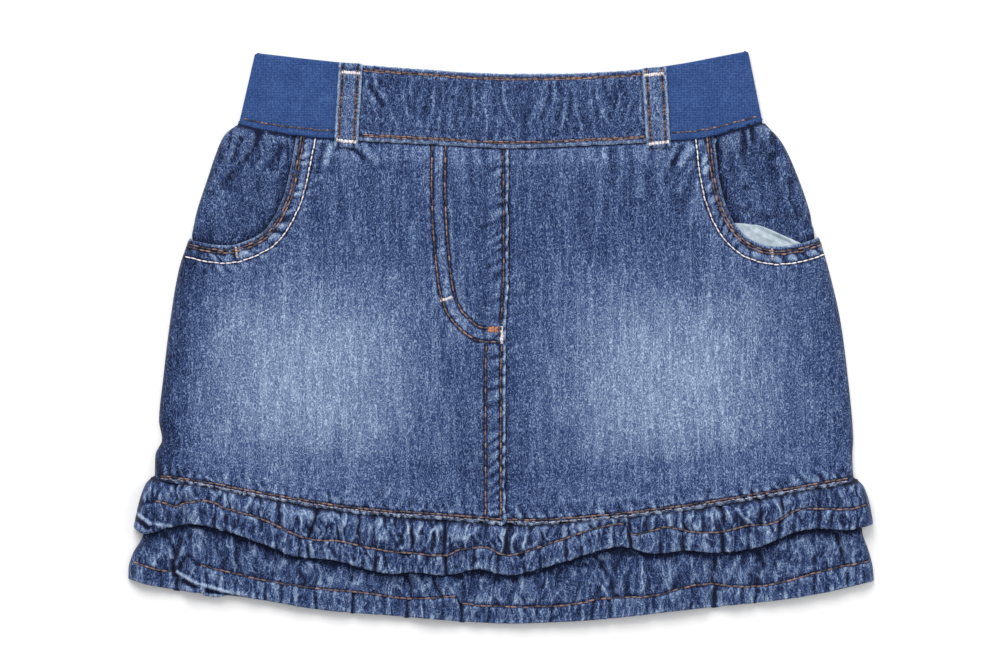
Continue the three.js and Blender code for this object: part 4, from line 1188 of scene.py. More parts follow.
# %% Sewn rows of the ruffles
# Columns: x, y
UPPER_STITCH = [
    (-172, -79.5), (-164, -78.3), (-155.5, -80.9), (-152, -79.4), (-140, -78), (-131.5, -81.6),
    (-115.7, -86.2), (-105.6, -90.5), (-92.6, -96.2), (-77.8, -97.2), (-62.6, -100.6), (-53.3, -102.2),
    (-41, -103.2), (-26.4, -104.2), (-19.7, -101.5), (-6.7, -100.4), (0, -103.4), (4.3, -104.2),
    (17.3, -100.4), (30, -96.1), (42.7, -91.9), (59, -89), (62, -94), (71.5, -92.4), (79, -90.7),
    (92, -92.9), (104.6, -92.9), (117.6, -89.8), (129, -89), (141, -82.6), (149.5, -81.8),
    (166.6, -81.8), (176.5, -79.4),
]
LOWER_STITCH = [
    (-178, -107.3), (-156.5, -111.6), (-150, -103), (-146, -107.8), (-131.5, -112), (-114, -116),
    (-88.8, -120.1), (-62.9, -122.6), (-45.8, -125), (-28.8, -124.4), (-21.6, -124.2), (-18.5, -127.4),
    (5.8, -128.9), (31.2, -128.2), (48.5, -125), (73.7, -123.5), (95, -118.3), (121, -119.3),
    (138, -116.2), (155, -111.5), (177.5, -106.8),
]
print("points in the sewn rows:", len(UPPER_STITCH), "and", len(LOWER_STITCH))

# %% [markdown]
# A crease often leans, as the strip was pushed sideways under the needle: each has a place at the seam
# and another at the sewn row. A height below zero is a valley and one above zero is a ridge.

# %% Creases of the upper ruffle
# Columns: x at the seam, x at the sewn row, width, height
UPPER_CREASES = [
    (-157, -152.6, 3.2, -3.6), (-166, -160, 2.2, -1.5), (-148, -147, 4, 1.4), (-132, -130.6, 1.4, -2.2),
    (-126, -132, 1.2, 1.0), (-116.8, -119, 1.3, -2.6), (-108, -106, 1.5, -1.4), (-100, -103, 1.1, 1.0),
    (-87.8, -92.2, 1.1, -3.6), (-84, -88, 2.4, 1.2), (-76.3, -77.7, 1.1, -2.6), (-74, -75.6, 0.9, 1.4),
    (-67.6, -67.2, 1.2, -2.2), (-60.5, -60.5, 1.3, -2.6), (-58.6, -54.5, 0.8, 1.8),
    (-52.6, -46, 0.8, 1.6), (-45.4, -44.4, 0.9, 2.0), (-43.4, -42, 1.1, -2.4), (-36, -38, 1.0, -1.6),
    (-32.6, -32, 0.9, 2.0), (-30.4, -30, 1.2, -2.4), (-25.8, -25.6, 0.8, 1.8),
    (-27.4, -27.6, 1.0, -3.0), (-14.4, -17, 0.9, 1.4), (-8, -9.6, 1.6, -1.6), (3.2, 0, 0.9, 2.2),
    (5.0, 1.8, 1.1, -3.0), (12, 9, 0.9, 1.6), (16.8, 17.5, 0.8, 1.6), (18.6, 19.4, 1.1, -2.2),
    (29, 27, 1.4, -1.4), (43, 45, 1.2, -1.8), (52, 50, 1.0, 1.2), (61.6, 63, 1.4, -2.8),
    (70, 69, 1.2, -1.6), (76.6, 76.6, 1.0, -2.0), (87.8, 88.3, 1.2, -3.4), (85, 85.6, 0.9, 1.4),
    (96, 97, 1.1, -1.6), (102, 101, 0.9, 2.0), (104.4, 105, 1.2, -3.0), (110, 121, 1.0, 1.4),
    (123, 124, 1.4, -2.4), (130, 134, 0.9, 1.6), (134, 138, 1.2, -1.8), (146, 150, 1.0, 1.2),
    (158, 157, 1.6, -1.4),
]
# Columns: x, width, height
UPPER_BAND_CREASES = [
    (-168, 2.4, 1.0), (-160, 2.2, -1.6), (-154.5, 3.0, -2.6), (-146, 3.4, 1.4), (-137.5, 1.2, -1.2),
    (-131.6, 1.4, -1.6), (-120, 3.0, 1.0), (-114, 1.0, -0.8), (-107.6, 1.6, -1.4), (-103, 1.0, 0.9),
    (-96.5, 1.3, -1.4), (-92.4, 1.2, -2.6), (-84, 2.6, 0.8), (-77, 1.0, -1.0), (-72, 1.2, 0.9),
    (-66, 1.4, -1.2), (-60, 1.0, -2.4), (-52, 2.4, 0.9), (-47, 1.0, -0.9), (-40, 1.1, 0.9),
    (-35, 1.2, -1.0), (-26.4, 1.5, -3.2), (-18, 2.6, 0.9), (-13, 1.2, -1.6), (-7, 2.2, 0.8),
    (-1.4, 1.3, -2.0), (5, 2.8, 0.8), (11, 1.1, -1.2), (18.4, 1.2, -1.2), (25, 2.2, 0.8),
    (31, 1.1, -1.2), (38, 1.0, -1.0), (45, 2.8, 0.9), (54, 1.0, -1.0), (61.8, 1.4, -3.0),
    (70, 2.6, 0.8), (76.4, 1.2, -2.0), (86.8, 1.5, -2.8), (82, 1.8, 1.0), (93, 1.0, -0.9),
    (98.5, 1.6, 0.9), (105.8, 1.3, -2.8), (112, 1.0, -1.2), (118, 1.2, -1.4), (126, 2.6, 1.2),
    (133, 1.2, -1.8), (140, 1.0, -1.4), (147, 2.0, 0.9), (152, 1.0, -0.9), (158, 1.1, -1.3),
    (165, 1.1, 1.0), (170, 1.0, -1.2),
]
print("creases of the upper ruffle:", len(UPPER_CREASES), "and in its hem:", len(UPPER_BAND_CREASES))

# %% [markdown]
# The lower ruffle is cut from the same cloth but is gathered less, and its upper part lies under the
# upper one. So its gathers have fewer and wider creases.

# %% Creases of the lower ruffle
# Columns: x at the seam, x at the sewn row, width, height
LOWER_CREASES = [
    (-168, -166, 3, 0.9), (-146, -150, 3.5, 2.0), (-151, -156, 2.2, -2.0), (-138, -140, 2.4, -1.6),
    (-129, -127, 1.2, 1.2), (-124, -126, 1.6, -1.6), (-108, -110, 1.4, -1.2), (-96, -98, 1.0, 0.9),
    (-84, -86, 2.0, -1.2), (-70, -74, 1.2, -1.2), (-52, -44, 1.0, 1.2), (-47, -43, 1.2, -2.0),
    (-33, -28, 1.4, -1.6), (-24, -19.6, 1.6, 1.6), (-20, -17.6, 1.6, -2.2), (-2, -2, 3.0, -1.0),
    (16, 14, 3, -0.8), (26, 24, 1.0, 0.8), (40, 52, 1.2, 1.6), (43, 54.6, 1.4, -2.0), (58, 62, 2, -1.2),
    (66, 68, 2.4, 1.2), (80, 84, 2.0, -1.2), (90, 96, 1.4, 1.2), (98, 101, 1.6, -1.6),
    (103, 102, 1.8, -3.4), (116, 107, 1.4, 1.6), (123, 122, 2.2, -2.0), (136, 134, 3, 0.8),
    (148, 150, 1.4, -1.0), (159, 165, 1.2, -1.8), (163, 169, 1.2, 1.4), (170, 171, 1.4, -1.2),
]
# Columns: x, width, height
LOWER_BAND_CREASES = [
    (-172, 2.0, 0.8), (-163, 1.0, -0.9), (-155, 1.8, -2.4), (-148, 2.4, 1.2), (-141, 1.0, -1.2),
    (-134, 1.0, 0.9), (-127, 1.0, -1.0), (-119, 1.0, 0.9), (-113, 1.4, -1.4), (-105, 1.0, -1.0),
    (-98, 1.0, 0.9), (-89, 1.3, -1.4), (-80, 1.0, 0.8), (-71, 1.3, -2.0), (-62, 1.0, 0.8),
    (-56, 1.0, -0.9), (-45, 1.4, -2.2), (-38, 0.9, 1.0), (-33.6, 0.9, 0.9), (-28, 1.0, -0.8),
    (-19, 1.4, -2.6), (-13, 1.0, 0.8), (-6, 1.0, -0.9), (2, 1.0, -0.8), (9, 1.0, 0.8), (17, 1.0, -1.0),
    (24, 1.1, -1.3), (33, 0.9, 0.9), (39, 0.9, 0.9), (44, 1.0, -1.0), (52, 1.2, -1.2), (61, 1.0, 0.8),
    (68, 1.1, 1.0), (73, 1.2, -1.3), (82, 1.0, 0.8), (91, 1.0, -1.0), (102.4, 1.7, -3.4),
    (110, 1.0, 0.8), (115.6, 1.2, -1.6), (122, 1.2, -1.8), (129, 0.9, 1.0), (136, 0.9, 1.0),
    (143, 0.9, 0.9), (150, 1.0, -1.0), (158, 1.0, 0.8), (166, 1.0, -1.0), (172, 1.0, 0.8),
]
print("creases of the lower ruffle:", len(LOWER_CREASES), "and in its hem:", len(LOWER_BAND_CREASES))

# %% [markdown]
# At the left end both doubled hems turn over, and that makes a few sharp folds. A swell is slower: the
# whole strip rises and sinks by a millimetre as it goes round.

# %% Folds and swells of the ruffles
# Folds at the left end, where both hems turn over. Columns: x1, y1, x2, y2, width, height
UPPER_FOLDS = [(-175.7, -83.3, -167.5, -88.6, 0.9, 1.0), (-167.5, -88.6, -158, -90.2, 0.9, 0.9),
               (-175.2, -85.9, -168.5, -90.8, 1.0, -1.5), (-173, -70, -174.5, -80, 1.2, 0.8)]
LOWER_FOLDS = [(-152.3, -100.8, -155.3, -108, 0.9, 1.6), (-155.3, -108, -155, -112.4, 0.9, 1.6),
               (-155, -112.4, -146.1, -117.2, 0.9, 1.5), (-146.1, -117.2, -130, -122, 0.8, 1.1),
               (-160.3, -94.8, -156.6, -103, 1.6, -1.6), (-157.3, -106.8, -156.6, -113.4, 1.1, -1.8),
               (-152, -116.6, -146.5, -119.2, 0.9, -1.6), (-141, -121.2, -122, -125, 0.9, -2.2)]
# Columns: x, how far the strip stands above its mean height
UPPER_SWELL = [
    (-176, 0.6), (-155, -1.2), (-145, 1.2), (-128, 0), (-105, 0.6), (-92, -0.6), (-75, 0.4), (-50, 0.8),
    (-26, -0.6), (-12, 0.6), (0, -0.4), (20, 0.5), (45, 1.2), (61, -0.6), (75, 0.7), (88, -0.6),
    (100, 0.8), (106, -0.5), (128, 1.2), (150, 0.4), (178, 0),
]
LOWER_SWELL = [
    (-179, 0), (-168, 0.4), (-156, -0.8), (-147, 1.0), (-120, 0.2), (-70, -0.2), (-46, -0.6),
    (-30, 0.7), (-18, -0.6), (20, -0.2), (56, 0.4), (80, 0.5), (95, 0.6), (103, -1.4), (114, 0.8),
    (124, -0.5), (150, 0.3), (179, 0),
]
print("folds at the left end:", len(UPPER_FOLDS), "and", len(LOWER_FOLDS))

# %% [markdown]
# The two ruffles differ only in their tables, so one function makes both. A crease is a narrow valley or
# ridge along its line, bowed a little, and neighbours differ in bow and in depth.

# %% Creases
def creases(table, x, t):
    """Creases from the seam (t = 0) to the sewn row (t = 1): height * exp(-(distance / width)^1.5)."""
    total = np.zeros(np.shape(x))
    for number, (start, end, width, height) in enumerate(table):
        bow = 1.6 * math.sin(2.4 * number) * np.sin(np.pi * t)
        away = np.abs(x - (start + (end - start) * t + bow))
        reach = smooth(t * 6) * (0.75 + 0.25 * math.sin(1.7 * number))
        total += height * reach * fade(away, width, 1.5)
    return total


def band_creases(table, x, t):
    """Creases that cross the doubled hem, shallower at its sewn edge than at its fold."""
    total = np.zeros(np.shape(x))
    for number, (middle, width, height) in enumerate(table):
        away = np.abs(x - (middle + 1.2 * math.sin(1.9 * number) * (t - 0.5)))
        total += height * (0.55 + 0.45 * t) * fade(away, width, 1.6)
    return total


RUFFLES = {
    "upper": {
        "starts": HEM_SEAM, "tuck": 1.6, "stitch": UPPER_STITCH, "hem": UPPER_HEM,
        "creases": UPPER_CREASES, "band": UPPER_BAND_CREASES, "swell": UPPER_SWELL, "folds": UPPER_FOLDS,
        # row, left x, right x
        "sides": [(-1, -165.6, 168.8), (0, -168, 171.2), (0.3, -170.8, 174), (1, -174, 176.8),
                  (2, -176.4, 178.6)],
        # row, height of the strip, and of what it lies on at its sides
        "heights": [(-1, 4.4), (0, 4.7), (0.14, 7.6), (0.35, 10.2), (0.6, 10.8), (1, 10.4), (2, 10.3)],
        "low": [(-1, 0), (2, 0)],
        "pitch": 4.6, "reach": 12, "strength": 2.1, "pale": 0.30, "shade": -0.06, "top": 0.0, "seed": 101,
    },
    "lower": {
        "starts": UPPER_HEM, "tuck": 6.0, "stitch": LOWER_STITCH, "hem": LOWER_HEM,
        "creases": LOWER_CREASES, "band": LOWER_BAND_CREASES, "swell": LOWER_SWELL, "folds": LOWER_FOLDS,
        "sides": [(-1, -170, 172), (0, -171.2, 172.6), (1, -178, 177.6), (2, -179, 179)],
        "heights": [(-1, 5.4), (0, 5.6), (0.4, 6.1), (1, 5.8), (2, 5.6)],
        "low": [(-1, 4.6), (0, 4.6), (0.3, 0), (2, 0)],
        # top: painted light, a lift of the strip's first part where it lies in the upper hem's shadow
        "pitch": 6.0, "reach": 18, "strength": 0.9, "pale": 0.24, "shade": -0.02, "top": 0.08, "seed": 131,
    },
}
print("creases placed by hand:", sum(len(form["creases"]) + len(form["band"]) for form in RUFFLES.values()))

# %% [markdown]
# A ruffle's grid follows the cloth: its rows run from under the seam, through the gathers, to the sewn row
# and on to the hem. So a crease can be placed by where it starts at the seam and ends at the stitches.

# %% Plan of a ruffle
RUFFLE_COLUMNS = 760
RUFFLE_ROWS = np.r_[np.linspace(-1, 0, 4)[:-1], np.linspace(0, 1, 23)[:-1], np.linspace(1, 2, 16)]
LEAST_DEPTH = 3.0
RUFFLE_WALL = 1.2
HEM_WALL = 1.9


def ruffle_plan(form):
    """Rows from under the seam (-1 to 0) through the gathers (0 to 1) to the hem (1 to 2), each between
    its two neighbouring edges. Gives x, y, the row's number and the distance from the nearer side."""
    share, row = np.meshgrid(np.linspace(0, 1, RUFFLE_COLUMNS), RUFFLE_ROWS, indexing="ij")
    left, right = read(form["sides"], row, 0, 1), read(form["sides"], row, 0, 2)
    x = left + (right - left) * share
    stitch, hem = read(form["stitch"], x), read(form["hem"], x)
    begin = np.maximum(read(form["starts"], x), stitch + LEAST_DEPTH)
    y = np.where(row < 0, begin - form["tuck"] * row, begin + (stitch - begin) * np.clip(row, 0, 1))
    y = np.where(row > 1, stitch + (hem - stitch) * (row - 1), y)
    return x, y, row, np.minimum(x - left, right - x)


print("grid of a ruffle:", ruffle_plan(RUFFLES["upper"])[0].shape)

# %% [markdown]
# Gathers are puffs with ridges between them, and small wrinkles lie on both. Their strength falls to two
# fifths at the sewn row, which holds the cloth flat, and stays there over the doubled hem.

# %% The two ruffles
def ruffle(which):
    """A ruffle: mean height + swell + noise gathers + placed creases, and its wear and painted shade from all
    of them.
    """
    form = RUFFLES[which]
    x, y, row, inside = ruffle_plan(form)
    down, hem = np.clip(row, 0, 1), np.clip(row - 1, 0, 1)
    in_hem = hem > 0
    calm = smooth(inside / 5)
    seed = form["seed"]
    bent = x + 2.6 * noise(x / 8, y / 6, seed)
    line = noise(bent / form["pitch"], y / (1.5 * form["reach"]) + 9, seed + 2)
    puff, crease = np.abs(line) ** 0.8 - 0.35, fade(line, 0.1)
    ridge = crest(bent / (1.25 * form["pitch"]) + 7, y / form["reach"], seed + 5)
    small = billow(x / 3.4 + 0.6 * noise(x / 6, y / 6, seed + 3), y / 8, seed + 4) - 0.35
    gathers = calm * np.where(in_hem, 0.4, smooth(down * 5) * (1 - 0.6 * smooth((down - 0.85) / 0.15)))

    swell = calm * read(form["swell"], x) * (0.5 + 0.5 * smooth(row / 1.5)) * smooth(row + 1)
    z = read(form["heights"], row) + swell
    z += gathers * (form["strength"] * puff + 0.35 * form["strength"] * ridge + 0.25 * small)
    z += calm * ~in_hem * creases(form["creases"], x, down)
    z += calm * in_hem * (band_creases(form["band"], x, hem) + 0.45 * small)
    z += folds(form["folds"], x, y)
    z -= 0.5 * calm * fade(row - 1, 0.06)
    z -= 0.5 * smooth((hem - 0.9) / 0.1)
    low = np.maximum(read(form["low"], row), 0)
    least = 1.8 + 1.8 * smooth((hem - 0.5) / 0.4)
    grid = np.stack([x, y, low + turned(inside, np.maximum(z, least) - low)], axis=-1)

    wear_and_shade = form["shade"] + worn(z, 2, 0.36) + worn(z, 7, 0.08)
    # Gather ridges are rubbed pale; the crease lines between them get painted shade.
    wear_and_shade += gathers * form["pale"] * (ridge - 0.6 * crease)
    wear_and_shade += worn(z, 4, 0.24) * in_hem
    # Painted shadow under the body's hem, where the strip comes out from under it, and painted shade in the
    # sewn row's groove.
    wear_and_shade -= 0.5 * fade(down, 0.14) * (row >= 0) + 0.14 * fade(row - 1, 0.08)
    rubbed = 0.3 * (0.7 + noise(x / 5, 3, seed + 6)) * fade(hem - 1, 0.07)
    wear_and_shade += 0.03 * in_hem + rubbed * in_hem
    # Painted light: lifts the first part of the lower ruffle, which lies in the shadow of the upper hem.
    wear_and_shade += form["top"] * smooth(1 - down * 2.5) * ~in_hem
    wall = np.where(in_hem, HEM_WALL, RUFFLE_WALL)
    return shell("ruffle_" + which + "_cloth", grid, wall, DENIM_RUFFLE, wear_and_shade), grid


upper_piece, upper_grid = ruffle("upper")
lower_piece, lower_grid = ruffle("lower")

# %% [markdown]
# The back lies flat on the surface, and so do the back halves of the ruffles. They only show at the
# edges and from below, so folds would be work for nothing: they are plain sheets with the same cloth.

# %% Back pieces
BACK_TOP = 99
BACK_FOOT = -67.2
MOUTH_FOOT = 45.5
HIP_INSET = 3.5
BODY_INSET = 2.4


def back_side(y, hand):
    """The back's side: a little inside the hip piece above MOUTH_FOOT and inside the front below it."""
    inward = 1 if hand == "left" else -1
    at_hip = read(HIP_SIDE, y, 0, SIDE_COLUMN[hand]) + inward * HIP_INSET
    at_body = read(BODY_SIDE, y, 0, SIDE_COLUMN[hand]) + inward * BODY_INSET
    return np.where(y > MOUTH_FOOT, at_hip, at_body)


def back_panel():
    """The back: each row straight across between its sides, each column from the elastic to the hem."""
    v = np.linspace(0, 1, 60)
    share = np.linspace(0, 1, 90)[:, None]
    side_y = BACK_TOP - v * (BACK_TOP - BACK_FOOT)
    x = back_side(side_y, "left")[None, :] * (1 - share) + back_side(side_y, "right")[None, :] * share
    top, foot = read(WAIST_BOTTOM, np.clip(x, -122, 122)) - 0.3, read(HEM_SEAM, x)
    y = top * (1 - v)[None, :] + foot * v[None, :]
    grid = np.stack([x, y, np.full_like(x, DENIM)], axis=-1)
    return shell("back_cloth", grid, DENIM, DENIM_BODY, 0.06 * noise(x / 30, y / 30, 153) - 0.04)


def back_strip(name, starts, ends, hem, above_hem, heights, rows):
    """A strip from under the hem seam to above a ruffle's hem, at a height read from the share down."""
    start_x, end_x = np.linspace(*starts, 120), np.linspace(*ends, 120)
    upper = np.c_[start_x, read(HEM_SEAM, start_x) - 0.6]
    lower = np.c_[end_x, read(hem, end_x) + above_hem]
    v = np.linspace(0, 1, rows)
    plan = upper[:, None] * (1 - v)[None, :, None] + lower[:, None] * v[None, :, None]
    z = np.broadcast_to(read(heights, v), plan.shape[:2])
    wear_and_shade = 0.05 * noise(plan[..., 0] / 30, plan[..., 1] / 30, 151) - 0.05
    return shell(name, np.concatenate([plan, z[..., None]], axis=-1), DENIM, DENIM_BODY, wear_and_shade)


back_piece = back_panel()
UPPER_BACK_HEIGHTS = [(0, DENIM), (1, DENIM)]
LOWER_BACK_HEIGHTS = [(0, 2.9), (0.3, 2.9), (0.5, 2.7), (0.62, DENIM), (1, DENIM)]
upper_back = back_strip("ruffle_upper_back_cloth", (-163, 166.4), (-172.4, 174.6), UPPER_HEM, 3.5,
                        UPPER_BACK_HEIGHTS, 12)
lower_back = back_strip("ruffle_lower_back_cloth", (-159, 162), (-176, 176), LOWER_HEM, 1.5,
                        LOWER_BACK_HEIGHTS, 24)

# %% [markdown]
# Thread is the last thing sewn and the first thing seen. Every stitch is a short bowed thread whose ends
# dip into the cloth. One long tube along the row would be simpler, but it would look like piping and not
# like stitches. So a row is a path, cut into equal stitches, and each stitch takes its height from the
# nearest point of the sheet that it is sewn to, and from the slope there.

# %% Stitches along a path
THREAD = 0.42
STITCH = 2.9
FILL = 0.96
RINGS = 5
DIP = 0.2
TINT_SPREAD = 0.28
TINT_LIMIT = 0.78
FACES_UP = 0.2
BATCH = 200


def on_sheet(grid, x, y):
    """Height of a sheet at (x, y): the nearest upward point's, carried along its slope."""
    points, facing = grid.reshape(-1, 3), normals(grid).reshape(-1, 3)
    up = facing[:, 2] > FACES_UP
    points, facing = points[up], facing[up]
    near = np.empty(len(x), int)
    for first in range(0, len(x), BATCH):
        part = slice(first, first + BATCH)
        away_x = points[None, :, 0] - x[part, None]
        away_y = points[None, :, 1] - y[part, None]
        near[part] = (away_x ** 2 + away_y ** 2).argmin(axis=1)
    point, normal = points[near], facing[near]
    return point[:, 2] - (normal[:, 0] * (x - point[:, 0]) + normal[:, 1] * (y - point[:, 1])) / normal[:, 2]


def stitch_row(grid, path, length=STITCH, fill=FILL, thick=THREAD, seed=1, wander=0.10, tint=0.5):
    """Stitches along a path: each fills a share of its step, bows up as half a sine and strays a little."""
    step = np.hypot(*np.diff(path, axis=0).T)
    reach = np.r_[0, np.cumsum(step)]
    count = max(1, int(round(reach[-1] / length)))
    rng = np.random.default_rng(seed)
    starts = np.arange(count) * reach[-1] / count
    size = fill * reach[-1] / count
    s = starts[:, None] + np.linspace(0, size, RINGS)[None, :]
    x, y = np.interp(s, reach, path[:, 0]), np.interp(s, reach, path[:, 1])
    x, y = x + rng.normal(0, wander, (count, 1)), y + rng.normal(0, wander, (count, 1))
    z = on_sheet(grid, x.ravel(), y.ravel()).reshape(x.shape)
    bow = np.sin(np.linspace(0, np.pi, RINGS))[None, :]
    z = z + thick * (bow - DIP)
    tints = np.clip(tint + rng.normal(0, TINT_SPREAD, count), 0, max(tint, TINT_LIMIT))
    return {"lines": np.stack([x, y, z], axis=-1), "thick": np.full(count, thick), "tint": tints}


centre_seam = stitch_row(left_grid, centre_row(1.7, -4, -85))
print("stitches in one row of the centre seam:", len(centre_seam["tint"]))

# %% [markdown]
# All the stitches of one thread are joined in one mesh, as a six-sided tube on every line, thin at its
# ends. Six sides are enough for something less than a millimetre thick, and one mesh is quick to draw.

# %% Tubes of thread
SIDES = 6
TAPER = np.array([0.6, 1.0, 1.05, 1.0, 0.6])
PER_STITCH = RINGS * SIDES + 2


def tube_faces():
    """The four-cornered faces of one tube: its wall, and three for each end, all meeting at a point."""
    ring, side = np.meshgrid(np.arange(RINGS - 1), np.arange(SIDES), indexing="ij")
    this, beyond, next_side = ring * SIDES, (ring + 1) * SIDES, (side + 1) % SIDES
    wall = np.stack([this + side, this + next_side, beyond + next_side, beyond + side], axis=-1)
    pairs = np.arange(0, SIDES, 2)
    first, last = np.full(len(pairs), RINGS * SIDES), np.full(len(pairs), RINGS * SIDES + 1)
    base = (RINGS - 1) * SIDES
    start_cap = np.stack([first, (pairs + 2) % SIDES, pairs + 1, pairs], axis=1)
    end_cap = np.stack([last, base + pairs, base + pairs + 1, base + (pairs + 2) % SIDES], axis=1)
    return np.concatenate([wall.reshape(-1, 4), start_cap, end_cap])


def thread_piece(name, rows, material):
    """Circles across every line, from the cross products of its direction with straight up."""
    lines, thick, tint = (np.concatenate([row[key] for row in rows]) for key in ("lines", "thick", "tint"))
    along = np.gradient(lines, axis=1)
    along /= np.linalg.norm(along, axis=-1, keepdims=True)
    side = np.cross(along, np.array([0.0, 0, 1]))
    side /= np.maximum(np.linalg.norm(side, axis=-1, keepdims=True), 1e-9)
    up = np.cross(side, along)
    angle = np.linspace(0, 2 * np.pi, SIDES, endpoint=False)
    radius = thick[:, None] * TAPER[None, :]
    ring = (side[:, :, None] * np.cos(angle)[:, None] + up[:, :, None] * np.sin(angle)[:, None])
    points = lines[:, :, None] + ring * radius[:, :, None, None]
    count = len(lines)
    points = np.concatenate([points.reshape(count, RINGS * SIDES, 3), lines[:, [0, -1]]], axis=1)
    points[..., 2] = np.maximum(points[..., 2], 0)
    faces = tube_faces()[None] + (np.arange(count) * PER_STITCH)[:, None, None]
    values = {"tint": np.repeat(tint, PER_STITCH)}
    piece = mesh_object(name, points.reshape(-1, 3), faces.reshape(-1, 4), material, values)
    print(name, "stitches:", count, "triangles:", 2 * len(piece.data.polygons))
    return piece


print("faces in one stitch:", len(tube_faces()))

# %% [markdown]
# The rows are made piece by piece: the fronts with the hem, the waistband, the ruffles and the belt loops.
# Each starts its random numbers anew from a seed, so that a change to one row leaves the others alone.

# %% Sewn rows
FRAYED_ABOVE = 0.5
brown, pale = [], []
for hand, grid in (("left", left_grid), ("right", right_grid)):
    for path, tint in BROWN_ROWS[hand]:
        brown.append(stitch_row(grid, path, seed=3, tint=tint))
    pale.append(stitch_row(grid, PALE_ROWS[hand], 2.8, 0.95, 0.34, seed=7, tint=0.95))
for grid, first, last in ((left_grid, -163, 0.5), (right_grid, 2.5, 166)):
    frayed = along_table(HEM_SEAM, first, last, 300, FRAYED_ABOVE)
    pale.append(stitch_row(grid, frayed, 2.0, 0.8, 0.22, seed=23, wander=0.2, tint=0.1))

SHEET_ROWS = [
    # sheet, path, length of a stitch, share of it that shows, thickness, seed, tint
    (band_grid, along_band(-66, 67.5, 0.042, 200), 2.6, FILL, 0.33, 27, 0.35),
    (band_grid, along_band(-66, 67.5, 0.062, 200), 2.6, FILL, 0.33, 28, 0.7),
    (band_grid, along_band(-66, 69, 0.934, 200), 2.6, FILL, 0.33, 29, 0.6),
    (band_grid, along_band(-66, 69, 0.954, 200), 2.6, FILL, 0.33, 30, 0.3),
    (elastic_grid, along_band(-123, -80, ELASTIC_ROW), 2.0, 0.85, THREAD, 31, 0.3),
    (elastic_grid, along_band(82, 122.5, ELASTIC_ROW), 2.0, 0.85, THREAD, 33, 0.3),
    (upper_grid, along_table(UPPER_STITCH, -165, 58.6, 400), STITCH, FILL, THREAD, 35, 0.42),
    (upper_grid, along_table(UPPER_STITCH, 62, 174.5, 300), STITCH, FILL, THREAD, 37, 0.42),
    (lower_grid, along_table(LOWER_STITCH, -176, -157, 80), STITCH, FILL, THREAD, 39, 0.4),
    (lower_grid, along_table(LOWER_STITCH, -143.5, -22, 300), STITCH, FILL, THREAD, 41, 0.4),
    (lower_grid, along_table(LOWER_STITCH, -18.5, 176, 400), STITCH, FILL, THREAD, 43, 0.4),
]
for grid, path, length, fill, thick, seed, tint in SHEET_ROWS:
    brown.append(stitch_row(grid, path, length, fill, thick, seed, tint=tint))
for hand, grid in (("left", loop_left_grid), ("right", loop_right_grid)):
    middle = np.linspace(LOOPS[hand]["top"], LOOPS[hand]["foot"], 60)
    for offset in (-4.0, -3.2, 3.2, 4.0):
        row = beside(middle, offset)[1:58]
        brown.append(stitch_row(grid, row, 1.9, 0.85, 0.28, seed=45, wander=0.12, tint=0.3))
print("rows of brown thread:", len(brown), "and of pale thread:", len(pale))

# %% [markdown]
# A bar tack is a close zigzag that holds where a seam is pulled: at the ends of the belt loops, at the fly
# and at the pockets. It is a ladder of short stitches laid side by side, made as any other row is.

# %% Bar tacks
TACK_STEP = 0.42
TACK_THREAD = 0.26


def bar_tack(grid, start, end, width, seed, tint):
    """Stitches across the line from start to end, `width` long and one TACK_STEP apart."""
    start, end = np.array(start, float), np.array(end, float)
    length = np.hypot(*(end - start))
    count = int(length / TACK_STEP)
    along = (end - start) / length
    side = np.array([-along[1], along[0]]) * width / 2
    rows = []
    for number in range(count):
        middle = start + along * length * (number + 0.5) / count
        path = np.stack([middle - side, middle + side])
        rows.append(stitch_row(grid, path, width, 1.0, TACK_THREAD, seed + number, tint=tint))
    return rows


PALE_TACKS = [
    # sheet, start, end, width, seed, tint
    (loop_left_grid, (-76.6, 126.9), (-67.6, 126.4), 1.6, 201, 0.9),
    (loop_left_grid, (-78.6, 94.2), (-69.2, 93.4), 1.6, 231, 0.9),
    (loop_right_grid, (68.4, 125.2), (77.6, 126.3), 1.6, 261, 0.9),
    (loop_right_grid, (70.8, 92.6), (80.2, 93.6), 1.6, 291, 0.9),
    (left_grid, (-29, 17.4), (-23.4, 19.2), 1.4, 321, 0.9),
    (left_grid, (0.2, 5.4), (0.2, -3.2), 1.6, 351, 0.9),
    (left_grid, (-127, 43.4), (-126.4, 38.0), 0.9, 411, 0.3),
    (right_grid, (129.8, 42.6), (129.8, 37.2), 0.9, 441, 0.3),
]
for tack in PALE_TACKS:
    pale += bar_tack(*tack)
brown += bar_tack(left_grid, (-6.2, 3.8), (-1.4, 3.8), 2.6, 381, 1.0)
brown_piece = thread_piece("thread_brown_rows", brown, THREAD_BROWN)
pale_piece = thread_piece("thread_pale_rows", pale, THREAD_PALE)

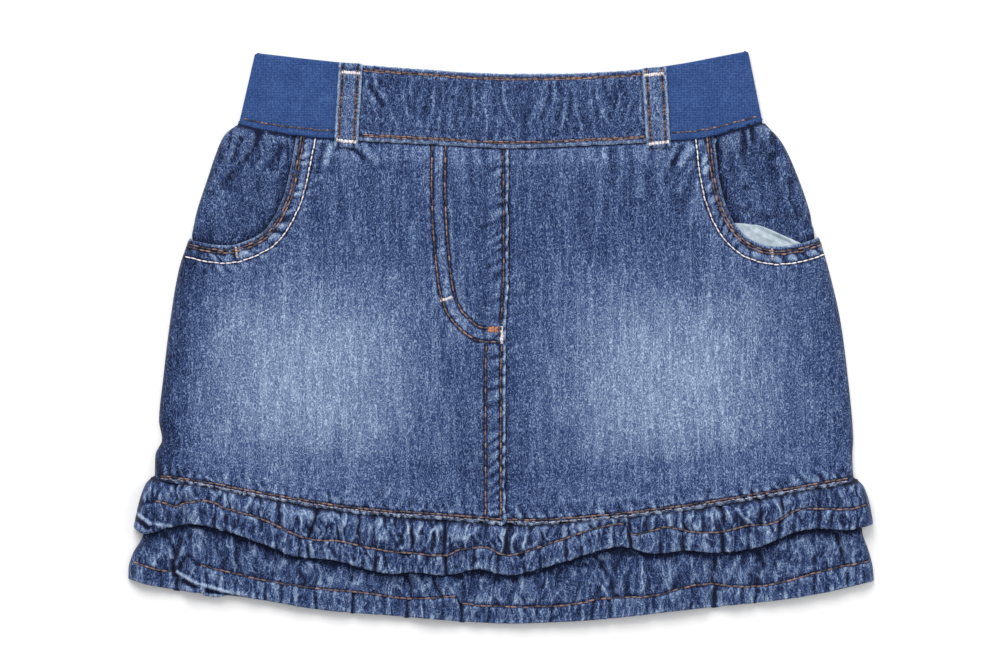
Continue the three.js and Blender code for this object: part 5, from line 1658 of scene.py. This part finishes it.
# %% [markdown]
# Each piece is tied to the frame's root, and the solid that it stands for is hidden. The table also gives
# each piece's material slot, the size that its sheet was cut to before it was sewn, the share of that
# rectangle, how it is held and what it rests on, but nothing here reads those columns. A gathered strip was
# cut much wider than it lies, and the cut is what someone who sews the skirt would need.

# %% Ties to the frame
CLOTHS = [
    # piece, node, slot, (width, length) of the cut in metres, share of that rectangle, held, rests on
    (back_piece, "back_panel", "denim", (0.33, 0.19), 0.93, "laid", []),
    (front_left, "front_left", "denim", (0.18, 0.19), 0.85, "laid", ["back_panel"]),
    (front_right, "front_right", "denim", (0.18, 0.19), 0.85, "laid", ["back_panel"]),
    (hip_left, "pocket_piece_left", "denim", (0.08, 0.07), 0.6, "gathered", ["back_panel"]),
    (hip_right, "pocket_piece_right", "denim", (0.08, 0.07), 0.6, "gathered", ["back_panel"]),
    (lining_piece, "pocket_lining_right", "lining", (0.034, 0.018), 0.45, "laid", ["pocket_piece_right"]),
    (band_front_piece, "waistband_front", "denim", (0.15, 0.038), 1.0, "laid", ["waistband_elastic"]),
    (elastic_piece, "waistband_elastic", "elastic", (0.36, 0.036), 1.0, "laid", []),
    (loop_left, "belt_loop_left", "strap", (0.0104, 0.042), 1.0, "laid", ["waistband_front"]),
    (loop_right, "belt_loop_right", "strap", (0.0106, 0.04), 1.0, "laid", ["waistband_front"]),
    (upper_piece, "ruffle_upper_front", "denim", (0.5, 0.03), 1.0, "gathered", ["ruffle_lower_front"]),
    (upper_back, "ruffle_upper_back", "denim", (0.36, 0.03), 0.8, "laid", []),
    (lower_piece, "ruffle_lower_front", "denim", (0.46, 0.04), 1.0, "gathered", ["ruffle_lower_back"]),
    (lower_back, "ruffle_lower_back", "denim", (0.36, 0.05), 1.0, "laid", ["ruffle_upper_back"]),
]
for piece, node, slot, flat, filled, held, rests_on in CLOTHS:
    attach(piece, "root")
    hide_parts(node)
for piece in (brown_piece, pale_piece):
    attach(piece, "root")
print("pieces tied:", len(CLOTHS) + 2)
